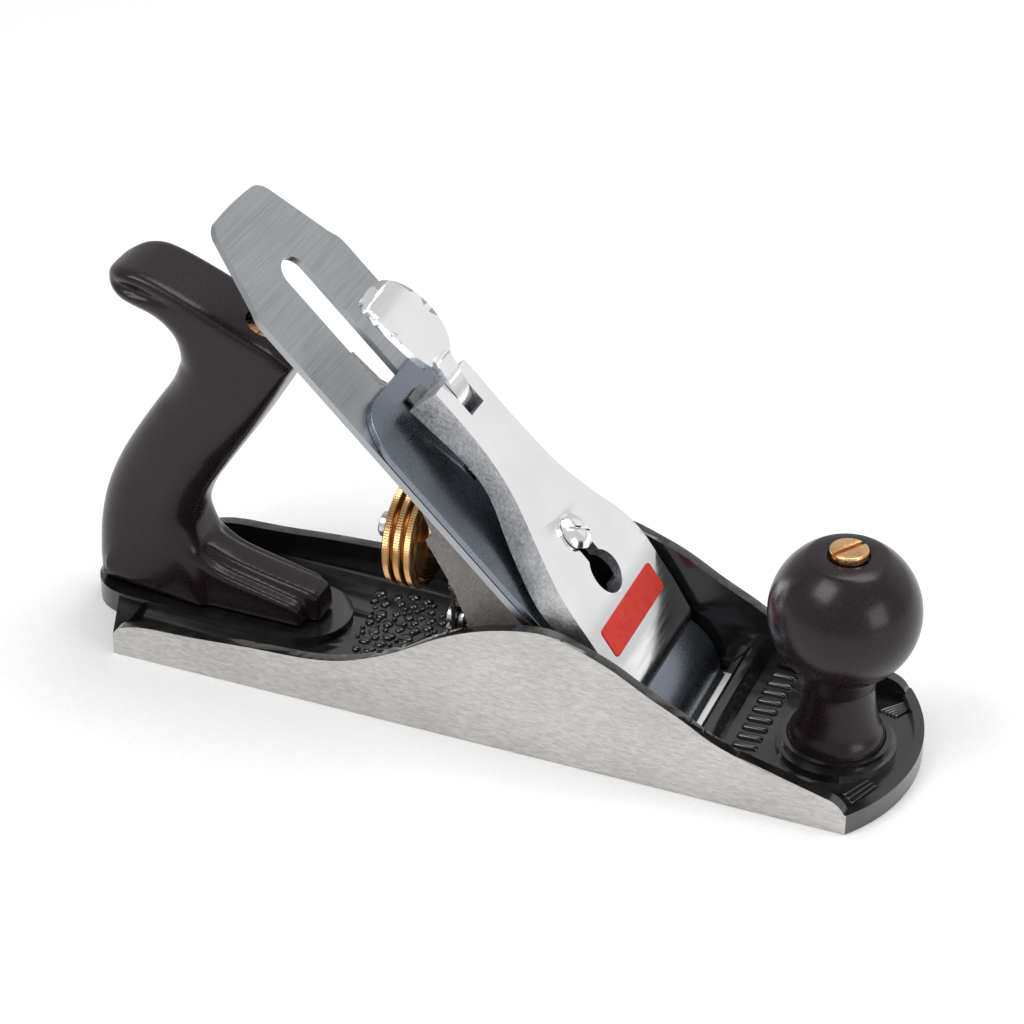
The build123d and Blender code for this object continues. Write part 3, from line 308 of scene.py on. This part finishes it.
M["plastic"] = plastic()


def enamel():
    m = Mat("label_enamel")
    m.set(Specular_IOR_Level=0.2, Coat_Weight=0.04, Coat_Roughness=0.10)
    v = m.coords((1.0, 1.0, 1.0))
    wide = m.noise(v, 300.0, 4.0, 0.5)
    m.color(m.ramp(wide, [(0.3, (0.50, 0.022, 0.012)), (0.7, (0.60, 0.034, 0.018))]))
    m.rough(m.range(wide, 0.22, 0.38))
    m.bump((wide, 0.00005, 0.3))
    return m.m


M["red"] = enamel()


# ------------------------------------------------------------------ mesh tools
def new_object(name, bm, mats, smooth_angle=35.0):
    mesh = bpy.data.meshes.new(name)
    bm.normal_update()
    bm.to_mesh(mesh)
    bm.free()
    for m in mats:
        mesh.materials.append(m)
    mesh.polygons.foreach_set("use_smooth", [True] * len(mesh.polygons))
    mesh.set_sharp_from_angle(angle=math.radians(smooth_angle))
    o = bpy.data.objects.new(name, mesh)
    bpy.context.scene.collection.objects.link(o)
    return o


def add_bevel(o, width, segments=2, angle=32.0, material=-1):
    b = o.modifiers.new("edge", "BEVEL")
    b.width = width * MM
    b.segments = segments
    b.limit_method = "ANGLE"
    b.angle_limit = math.radians(angle)
    b.use_clamp_overlap = True
    b.harden_normals = True
    b.miter_outer = "MITER_ARC"
    b.material = material
    return b


def carried(node, name, mats, width=0.3, segments=2, pick=None, edge=-1, angle=32.0):
    """A rounded-edge piece built from a node's own shape; pick(face centre in mm, normal) gives a material index."""
    src = nodes[node]
    bm = bmesh.new()
    bm.from_mesh(src.data)
    bmesh.ops.remove_doubles(bm, verts=bm.verts, dist=0.000004)
    bmesh.ops.dissolve_degenerate(bm, edges=bm.edges, dist=0.000004)
    bmesh.ops.dissolve_limit(bm, angle_limit=math.radians(0.6), use_dissolve_boundaries=False, verts=bm.verts, edges=bm.edges)
    bmesh.ops.recalc_face_normals(bm, faces=bm.faces)
    for f in bm.faces:
        f.material_index = 0
        if pick is not None:
            f.material_index = pick(f.calc_center_median() / MM, f.normal)
    o = new_object(name, bm, mats)
    if width > 0:
        add_bevel(o, width, segments, angle, edge)
    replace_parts(o, node)
    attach(o, src["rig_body"])
    return o


def paint(node, mat):
    o = nodes[node]
    o.data.materials.clear()
    o.data.materials.append(mat)
    for p in o.data.polygons:
        p.material_index = 0


def revolve(bm, profile, centre, segments, axis="Z", wave=None, close_ends=True, mat=None):
    """Spins (radius, height) points, mm, about a line through centre; wave(i, k) scales the radius of point k at step i."""
    rings = []
    for i in range(segments):
        a = 2 * math.pi * i / segments
        ring = []
        for k, (r, h) in enumerate(profile):
            q = r * (wave(a, k) if wave else 1.0)
            if axis == "Z":
                p = Vector((centre[0] + q * math.cos(a), centre[1] + q * math.sin(a), centre[2] + h))
            else:
                p = Vector((centre[0] + h, centre[1] + q * math.cos(a), centre[2] + q * math.sin(a)))
            ring.append(bm.verts.new(p * MM))
        rings.append(ring)
    for i in range(segments):
        a, b = rings[i], rings[(i + 1) % segments]
        for k in range(len(profile) - 1):
            f = bm.faces.new((a[k], b[k], b[k + 1], a[k + 1]))
            f.material_index = mat(k) if mat else 0
        if not close_ends:
            f = bm.faces.new((a[-1], b[-1], b[0], a[0]))
            f.material_index = mat(len(profile) - 1) if mat else 0
    if close_ends:
        bm.faces.new([r[0] for r in rings][::-1])
        bm.faces.new([r[-1] for r in rings])
    bmesh.ops.recalc_face_normals(bm, faces=bm.faces)


def spline(points, steps, closed=False):
    """A smooth line through points: Catmull-Rom with chord-length tangents."""
    n, out = len(points), []
    for i in range(n if closed else n - 1):
        p1, p2 = Vector(points[i]), Vector(points[(i + 1) % n])
        p0 = Vector(points[i - 1]) if closed or i > 0 else p1 * 2 - p2
        p3 = Vector(points[(i + 2) % n]) if closed or i + 2 < n else p2 * 2 - p1
        d = (p2 - p1).length
        m1 = (p2 - p0).normalized() * d
        m2 = (p3 - p1).normalized() * d
        for s in range(steps):
            u = s / steps
            out.append((2 * u**3 - 3 * u**2 + 1) * p1 + (u**3 - 2 * u**2 + u) * m1 + (-2 * u**3 + 3 * u**2) * p2 + (u**3 - u**2) * m2)
    if not closed:
        out.append(Vector(points[-1]))
    return out


# ------------------------------------------------------------------ sole casting
def casting_face(c, n):
    if abs(c.y) > 30.2 and abs(n.y) > 0.95:
        return 1
    if c.z < 0.3 and n.z < -0.9:
        return 2
    if (c.x > 100 or c.x < -103) and abs(n.z) < 0.5 and c.z < 5.5 and (c.x * c.x + c.y * c.y) ** 0.5 > 106:
        return 3
    return 0


carried("sole_casting", "plane_casting", [M["japan"], M["cheek"], M["sole"], M["japan_edge"], M["worn"]], width=0.2, pick=casting_face, edge=-1, angle=40.0)


# raised pebbled field, strips and pads on the japanned floor
def inside(pt, poly):
    x, y = pt
    hit = False
    for i in range(len(poly)):
        (x1, y1), (x2, y2) = poly[i], poly[i - 1]
        if (y1 > y) != (y2 > y) and x < (x2 - x1) * (y - y1) / (y2 - y1) + x1:
            hit = not hit
    return hit


def lump(bm, x, y, z, r, h, seed, squash=1.0, turn=0.0):
    """One raised cast lump with an uneven rim."""
    rnd = random.Random(seed)
    k = 12
    wob = [1.0 + rnd.uniform(-0.14, 0.14) for _ in range(k)]
    rings = []
    for u, hh in ((1.0, 0.0), (0.93, 0.42), (0.72, 0.80), (0.38, 0.97)):
        ring = []
        for i in range(k):
            a = 2 * math.pi * i / k
            px, py = r * u * wob[i] * math.cos(a), r * u * wob[i] * squash * math.sin(a)
            ring.append(bm.verts.new(Vector((x + px * math.cos(turn) - py * math.sin(turn), y + px * math.sin(turn) + py * math.cos(turn), z + h * hh)) * MM))
        rings.append(ring)
    top = bm.verts.new(Vector((x, y, z + h)) * MM)
    for a, b in zip(rings, rings[1:]):
        for i in range(k):
            bm.faces.new((a[i], a[(i + 1) % k], b[(i + 1) % k], b[i]))
    for i in range(k):
        bm.faces.new((rings[-1][i], rings[-1][(i + 1) % k], top))
    bm.faces.new(rings[0][::-1])


FLOOR_Z = 4.0
rnd = random.Random(7)
bm = bmesh.new()
field = [(-39.6, -10.5), (-44.3, 19.8), (-30.8, 22.2), (-22.1, 16.4), (-15.6, 5.3), (-26.5, -8.1)]
placed = []
for tries in range(5200):
    x, y = rnd.uniform(-45, -15), rnd.uniform(-12, 23)
    if not inside((x, y), field):
        continue
    r = rnd.uniform(1.5, 2.2) if tries < 500 else rnd.uniform(0.75, 1.5)
    if all((x - a) ** 2 + (y - b) ** 2 > (0.93 * (r + c) + 0.12) ** 2 for a, b, c in placed):
        placed.append((x, y, r))
        lump(bm, x, y, FLOOR_Z - 0.1, r * 0.97, rnd.uniform(0.75, 1.15), tries, rnd.uniform(0.78, 1.0), rnd.uniform(0, 3.1))
o = new_object("floor_pebbles", bm, [M["japan"]], 60.0)
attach(o, "plane_body")
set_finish(o, "body_casting")


def rib(bm, x0, y0, x1, y1, w, h, z):
    """A raised bar with sloping, rounded sides."""
    d = Vector((x1 - x0, y1 - y0, 0.0))
    L = d.length
    d.normalize()
    s = Vector((-d.y, d.x, 0.0))
    secs = []
    prof = [(-0.5, 0.0), (-0.42, 0.55), (-0.27, 0.92), (0.0, 1.0), (0.27, 0.92), (0.42, 0.55), (0.5, 0.0)]
    ends = [(0.0, 0.0, 0.62), (0.10, 0.62, 0.86), (0.32, 0.95, 0.97), (0.7, 1.0, 1.0)]
    stations = [(e[0] * w, e[1], e[2]) for e in ends] + [(L - e[0] * w, e[1], e[2]) for e in ends[::-1]]
    for dist, hh, ww in stations:
        secs.append([bm.verts.new((Vector((x0, y0, z)) + d * dist + s * (p * w * ww) + Vector((0, 0, q * h * hh))) * MM) for p, q in prof])
    for a, b in zip(secs, secs[1:]):
        for i in range(len(prof) - 1):
            bm.faces.new((a[i], b[i], b[i + 1], a[i + 1]))
    for i in (0, -1):
        bm.faces.new(secs[i] if i == -1 else secs[i][::-1])
    bm.faces.new([sec[0] for sec in secs][::-1] + [sec[-1] for sec in secs])
    bmesh.ops.remove_doubles(bm, verts=bm.verts, dist=0.0000005)


bm = bmesh.new()
for k in range(10):
    y = -14.0 + k * 4.3
    rib(bm, 73.4, y, 80.8, y + 0.4, 2.4, 1.15, FLOOR_Z - 0.1)
# ribbed pads at the toe's corners
for pad in (((107.5, -19.5), (112.0, -10.8), (117.7, -14.5), (114.5, -25.9)), ((105.9, 19.6), (111.8, 26.6), (114.2, 23.9), (111.1, 18.1))):
    for k in range(5):
        u = 0.08 + 0.21 * k
        p = [pad[0][i] + (pad[3][i] - pad[0][i]) * u for i in (0, 1)]
        q = [pad[1][i] + (pad[2][i] - pad[1][i]) * u for i in (0, 1)]
        rib(bm, p[0], p[1], q[0], q[1], 1.35, 0.8, FLOOR_Z - 0.1)
bmesh.ops.recalc_face_normals(bm, faces=bm.faces)
o = new_object("floor_bars", bm, [M["japan"]], 60.0)
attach(o, "plane_body")
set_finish(o, "body_casting")

# ------------------------------------------------------------------ knob
KX = 99.7
prof = []
base = [(13.35, 0.35), (13.3, 1.6), (12.8, 4.2), (11.5, 7.0), (10.5, 10.6), (9.8, 15.0), (9.5, 19.0), (9.9, 21.4)]
z0 = 6.35
pts = spline([Vector((r, h + z0, 0)) for r, h in base], 6)
for p in pts:
    prof.append((p.x, p.y))
# ball of radius 20.5 about z 48.6
join = math.radians(-58.5)
top = math.asin((65.9 - 48.6) / 20.5)
neck = spline([Vector((prof[-1][0], prof[-1][1], 0)), Vector((20.5 * math.cos(join) * 1.0, 48.6 + 20.5 * math.sin(join), 0))], 4)
for p in neck[1:]:
    prof.append((p.x, p.y))
N = 46
for i in range(1, N + 1):
    a = join + (top - join) * i / N
    prof.append((20.5 * math.cos(a), 48.6 + 20.5 * math.sin(a)))
rim = prof[-1]
prof += [(rim[0] - 0.35, rim[1] + 0.12), (9.0, 66.35), (7.2, 66.55), (6.2, 66.5), (5.75, 66.2), (5.6, 65.6)]
prof.append((5.6, 64.9))
prof.append((3.2, 64.9))
prof.append((3.2, z0 + 0.2))
prof.append((12.9, z0 + 0.02))
bm = bmesh.new()
revolve(bm, prof, (KX, 0.0, 0.0), 128, close_ends=False)
o = new_object("knob_moulding", bm, [M["plastic"]], 40.0)
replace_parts(o, "knob")
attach(o, "plane_body")
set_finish(o, "black_plastic")

# ------------------------------------------------------------------ tote
tote_front = [(-55.0, 92.0), (-62.0, 79.8), (-70.0, 66.8), (-79.0, 53.4), (-86.0, 42.4), (-89.2, 34.0), (-88.2, 28.0), (-86.2, 23.0), (-85.0, 15.0), (-85.0, 7.35)]
tote_back = [(-120.3, 7.35), (-120.8, 16.0), (-119.8, 27.0), (-117.3, 38.0), (-112.7, 49.0), (-106.3, 60.0), (-99.7, 70.0), (-94.1, 78.4), (-91.1, 86.0), (-91.9, 92.6), (-95.9, 97.5), (-101.6, 100.3), (-106.8, 102.1)]
tote_top = [(-110.8, 104.3), (-112.4, 107.4), (-110.7, 110.5), (-106.0, 112.5), (-99.2, 112.4), (-88.0, 108.5), (-74.0, 102.3), (-61.0, 96.7)]


def rounded_slab(bm, line, half, steps=9):
    """line: closed list of (x, z, depth, height) in mm, the last two how far the rounded edge reaches in and across."""
    n = len(line)
    P = [Vector((a[0], a[1])) for a in line]
    area = sum(P[i].x * P[(i + 1) % n].y - P[(i + 1) % n].x * P[i].y for i in range(n))
    sign = 1.0 if area > 0 else -1.0
    nor = []
    for i in range(n):
        t = (P[(i + 1) % n] - P[i - 1]).normalized()
        nor.append(Vector((-t.y, t.x)) * sign)
    for _ in range(3):
        nor = [(nor[i - 1] + nor[i] * 2 + nor[(i + 1) % n]).normalized() for i in range(n)]
    stack = []
    for k in range(-steps, steps + 1):
        ang = math.radians(90.0) * abs(k) / steps
        ring = []
        for i in range(n):
            dd, hh = line[i][2], line[i][3]
            q = P[i] + nor[i] * dd * (1 - math.cos(ang))
            y = (half - hh + hh * math.sin(ang)) if k else 0.0
            if q.x < -101.0 and q.y > 88.0:
                y *= math.sqrt(max(0.03, 1.0 - ((-101.0 - q.x) / 11.9) ** 2))
            ring.append(bm.verts.new(Vector((q.x, math.copysign(y, k) if k else 0.0, q.y)) * MM))
        stack.append(ring)
    for a, b in zip(stack, stack[1:]):
        for i in range(n):
            j = (i + 1) % n
            bm.faces.new((a[i], a[j], b[j], b[i]))
    bm.faces.new(stack[0][::-1])
    bm.faces.new(stack[-1])


def along(points, steps, start, end):
    out = spline([Vector((x, z, 0)) for x, z in points], steps)
    n = len(out) - 1
    return [(p.x, p.y, *(s + (e - s) * (i / n) for s, e in zip(start, end))) for i, p in enumerate(out)]


bm = bmesh.new()
line = []
line += along(tote_front[:4], 7, (2.6, 3.0), (10.5, 9.8))[:-1]
line += along(tote_front[3:8], 6, (10.5, 9.8), (6.0, 6.5))[:-1]
line += along(tote_front[7:], 4, (6.0, 6.5), (1.5, 1.5))
line += along(tote_back[:2], 4, (8.5, 9.0), (9.5, 9.2))[:-1]
line += along(tote_back[1:9], 7, (9.5, 9.2), (9.5, 9.8))[:-1]
line += along(tote_back[8:], 7, (9.5, 9.8), (4.0, 6.0))[:-1]
line += along([tote_back[-1]] + tote_top[:3], 7, (4.0, 6.0), (2.6, 3.6))[:-1]
line += along(tote_top[2:], 7, (2.6, 3.6), (1.7, 2.0))
rounded_slab(bm, line, 11.35)
# ridge along the foot
ridge = along([(-91.0, 26.5), (-86.8, 25.4), (-80.0, 22.5), (-70.0, 19.9), (-60.0, 17.9), (-53.8, 16.6)], 5, (2.2, 1.6), (2.0, 1.4))
ridge += along([(-52.2, 15.4), (-51.6, 13.0), (-51.4, 7.35)], 4, (1.2, 1.2), (0.6, 0.6))
ridge += [(-91.0, 7.35, 0.5, 0.5)]
rounded_slab(bm, ridge, 5.0, 4)
# lower ledge at each side
ledge = along([(-94.0, 27.0), (-88.0, 24.2), (-81.5, 20.2), (-68.0, 16.7), (-57.6, 14.3)], 5, (1.2, 1.2), (1.2, 1.2))
ledge += along([(-56.0, 13.0), (-55.3, 11.0), (-55.1, 7.35)], 4, (0.9, 0.9), (0.5, 0.5))
ledge += [(-94.0, 7.35, 0.5, 0.5)]
rounded_slab(bm, ledge, 9.7, 4)
bmesh.ops.recalc_face_normals(bm, faces=bm.faces)
raw = new_object("tote_raw", bm, [M["plastic"]])
rm = raw.modifiers.new("one", "REMESH")
rm.mode = "VOXEL"
rm.voxel_size = 0.00055
rm.use_smooth_shade = True
dg = bpy.context.evaluated_depsgraph_get()
solid = bpy.data.meshes.new_from_object(raw.evaluated_get(dg))
bm = bmesh.new()
bm.from_mesh(solid)
for _ in range(14):
    bmesh.ops.smooth_vert(bm, verts=bm.verts, factor=0.5, use_axis_x=True, use_axis_y=True, use_axis_z=True)
# bore for the rod's nut: sink the top skin into a shallow round pocket
axis_o, axis_d = Vector((-107.4, 0, 4.0)), Vector((25.0, 0, 59.0)).normalized()
bpy.data.objects.remove(raw)
o = new_object("tote_moulding", bm, [M["plastic"]], 75.0)
cut_bm = bmesh.new()
u, w = Vector((0, 1, 0)), axis_d.cross(Vector((0, 1, 0)))
rings = []
for s in (94.6, 132.0):
    rings.append([cut_bm.verts.new((axis_o + axis_d * s + u * 5.6 * math.cos(a) + w * 5.6 * math.sin(a)) * MM) for a in [2 * math.pi * i / 48 for i in range(48)]])
for i in range(48):
    cut_bm.faces.new((rings[0][i], rings[0][(i + 1) % 48], rings[1][(i + 1) % 48], rings[1][i]))
cut_bm.faces.new(rings[0][::-1])
cut_bm.faces.new(rings[1])
bmesh.ops.recalc_face_normals(cut_bm, faces=cut_bm.faces)
cutter = new_object("tote_cut", cut_bm, [M["plastic"]])
bo = o.modifiers.new("bore", "BOOLEAN")
bo.operation = "DIFFERENCE"
bo.object = cutter
bo.solver = "EXACT"
dg = bpy.context.evaluated_depsgraph_get()
done = bpy.data.meshes.new_from_object(o.evaluated_get(dg))
o.modifiers.clear()
o.data = done
o.data.polygons.foreach_set("use_smooth", [True] * len(o.data.polygons))
o.data.set_sharp_from_angle(angle=math.radians(50))
bpy.data.objects.remove(cutter)
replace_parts(o, "tote")
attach(o, "plane_body")
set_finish(o, "black_plastic")

# ------------------------------------------------------------------ depth wheel
teeth = 132
CX, CZ = -20.0, 43.0
ridges = [(-27.2, -24.8), (-24.0, -21.6), (-20.8, -18.4)]
prof, kinds = [], []


def add(r, x, kind):
    prof.append((r, x))
    kinds.append(kind)


add(3.62, -27.15, 1)
add(5.0, -27.15, 1)
add(6.2, -26.6, 0)
add(13.4, -26.6, 0)
add(14.6, -26.95, 0)
for k, (a, b) in enumerate(ridges):
    w = b - a
    if k:
        add(13.0, a - 0.05, 0)
    add(15.25, a + 0.10, 2)
    add(15.6, a + 0.45, 2)
    add(15.6, b - 0.45, 2)
    add(15.25, b - 0.10, 2)
    add(13.0, b + 0.05, 0)
add(12.6, -17.95, 0)
add(6.5, -17.85, 0)
add(6.0, -17.5, 1)
add(6.0, -14.9, 1)
add(5.7, -14.65, 1)
add(4.75, -14.6, 1)
add(4.7, -6.55, 1)
add(6.6, -6.5, 1)
add(6.9, -6.2, 1)
add(6.9, -5.6, 1)
add(6.5, -5.35, 1)
add(3.62, -5.35, 1)


def knurl(a, k):
    if kinds[k] == 2:
        return 1.0 - 0.012 * (0.5 - 0.5 * math.cos(a * teeth))
    return 1.0


bm = bmesh.new()
# hub and bore faces (kind 1) get the darker brass copy, a painted shade
revolve(bm, prof, (0.0, 0.0, CZ), teeth * 4, axis="X", wave=knurl, close_ends=False, mat=lambda k: 1 if kinds[k] == 1 else 0)
o = new_object("depth_wheel_turned", bm, [M["brass_wheel"], M["brass_hub_painted_shade"]], 40.0)
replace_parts(o, "depth_wheel")
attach(o, "wheel")
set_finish(o, "brass")


# ------------------------------------------------------------------ frog, irons, cap and small parts
def bed_n(c):
    return (c.x - 57.0 + c.z) / R2


def bed_t(c):
    return (c.z - c.x + 57.0) / R2


def frog_face(c, n):
    up = (n.x + n.z) / R2
    if up > 0.97 and abs(bed_n(c)) < 0.4:
        return 1
    return 0


carried("frog", "frog_casting", [M["frog"], M["bed_face"], M["worn"]], width=0.45, pick=frog_face, edge=-1, angle=35.0)
carried("iron", "cutting_iron", [M["blade"]], width=0.18)
carried("cap_iron", "chip_breaker", [M["cap_iron"]], width=0.25)


def cap_face(c, n):
    up = (n.x + n.z) / R2
    return 0 if up > 0.45 else 1


carried("lever_cap", "lever_cap_casting", [M["chrome"], M["cast_side"]], width=0.4, segments=3, pick=cap_face, edge=-1, angle=38.0)
carried("cam_lever", "cam_thumb_lever", [M["chrome"]], width=0.0)
carried("name_label", "cap_panel", [M["red"]], width=0.12)
carried("lever_cap_screw", "cap_screw_domed", [M["chrome"]], width=0.0)
carried("yoke", "yoke_pressed", [M["zinc"]], width=0.3)
carried("lateral_lever", "lateral_lever_pressed", [M["zinc"]], width=0.25)
carried("frog_adjusting_screw", "frog_adjusting_screw_turned", [M["zinc"]], width=0.3)
carried("frog_adjusting_clip", "frog_clip", [M["zinc"]], width=0.15)
carried("frog_screws", "frog_fixing_screws", [M["dark_steel"]], width=0.2)
carried("frog_screw_washers", "frog_fixing_washers", [M["dark_steel"]], width=0.15)
carried("clip_screw", "clip_fixing_screw", [M["dark_steel"]], width=0.15)
carried("cap_iron_screw", "cap_iron_fixing_screw", [M["dark_steel"]], width=0.2)
carried("knob_nut", "knob_top_nut", [M["brass"]], width=0.25)
carried("tote_nut", "tote_top_nut", [M["brass"]], width=0.25)
for n in ("knob_rod", "tote_rod", "depth_stud", "yoke_pin", "lateral_roller", "lateral_rivet", "lever_cap_spring", "spring_rivet", "cam_pin"):
    paint(n, M["zinc"] if n not in ("lever_cap_spring",) else M["dark_steel"])

SLOTS = {}
for sp in frame["record"]["subparts"]:
    SLOTS[sp["node"]] = sp["material_slot"]
for o in bpy.context.scene.objects:
    if o.type == "MESH" and "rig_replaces" in o and "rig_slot" not in o:
        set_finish(o, SLOTS[list(o["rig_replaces"])[0]])


# ------------------------------------------------------------------ floor, light, camera
def floor_material():
    m = Mat("floor_paper")
    m.set(Roughness=0.85, Specular_IOR_Level=0.2)
    n = m.noise(m.coords((1.0, 1.0, 1.0)), 900.0, 3.0, 0.5)
    m.color(m.ramp(n, [(0.3, (0.86, 0.86, 0.86)), (0.7, (0.90, 0.90, 0.90))]))
    return m.m


bm = bmesh.new()
v = [bm.verts.new(p) for p in ((-6, -6, -0.0002), (6, -6, -0.0002), (6, 6, -0.0002), (-6, 6, -0.0002))]
bm.faces.new(v)
floor = new_object("floor", bm, [floor_material()])

world = bpy.data.worlds.new("studio")
world.use_nodes = True
world.node_tree.nodes["Background"].inputs["Color"].default_value = (1.0, 1.0, 1.0, 1.0)
world.node_tree.nodes["Background"].inputs["Strength"].default_value = 0.62
bpy.context.scene.world = world
bpy.context.scene.view_settings.view_transform = "Standard"


def area(name, loc, aim, size, power, size_y=None):
    d = bpy.data.lights.new(name, "AREA")
    d.shape = "RECTANGLE"
    d.size = size
    d.size_y = size_y or size
    d.energy = power
    o = bpy.data.objects.new(name, d)
    bpy.context.scene.collection.objects.link(o)
    o.location = loc
    o.rotation_mode = "QUATERNION"
    o.rotation_quaternion = (Vector(aim) - Vector(loc)).to_track_quat("-Z", "Y")
    return o


area("key", (-0.35, -0.55, 0.95), (0, 0, 0.03), 0.55, 5.2)
area("over", (0.25, 0.35, 1.05), (0, 0, 0.03), 0.8, 5.2, 0.5)
area("sheen", (0.55, 0.78, 0.42), (0.0, 0.0, 0.06), 0.95, 0.42, 0.6)
area("side", (0.95, -0.35, 0.35), (0, 0, 0.04), 0.45, 2.0)

AZ, EL, ROLL = math.radians(21.952), math.radians(33.278), math.radians(-0.203)
D, TX, TY, F = 915.206, 4.948, 45.935, 3260.138
right = Vector((math.cos(AZ), math.sin(AZ), 0.0))
back = Vector((math.sin(AZ) * math.cos(EL), -math.cos(AZ) * math.cos(EL), math.sin(EL)))
up = back.cross(right)
rz = Matrix.Rotation(ROLL, 3, "Z")
R = rz @ Matrix((right, up, back))
cam = bpy.data.cameras.new("camera")
cam.sensor_width = 36.0
cam.lens = F / 1024.0 * 36.0
cam.clip_start, cam.clip_end = 0.05, 20.0
co = bpy.data.objects.new("camera", cam)
bpy.context.scene.collection.objects.link(co)
loc = R.transposed() @ Vector((TX, TY, D)) / 1000.0
m = R.transposed().to_4x4()
m.translation = loc
co.matrix_world = m
bpy.context.scene.camera = co
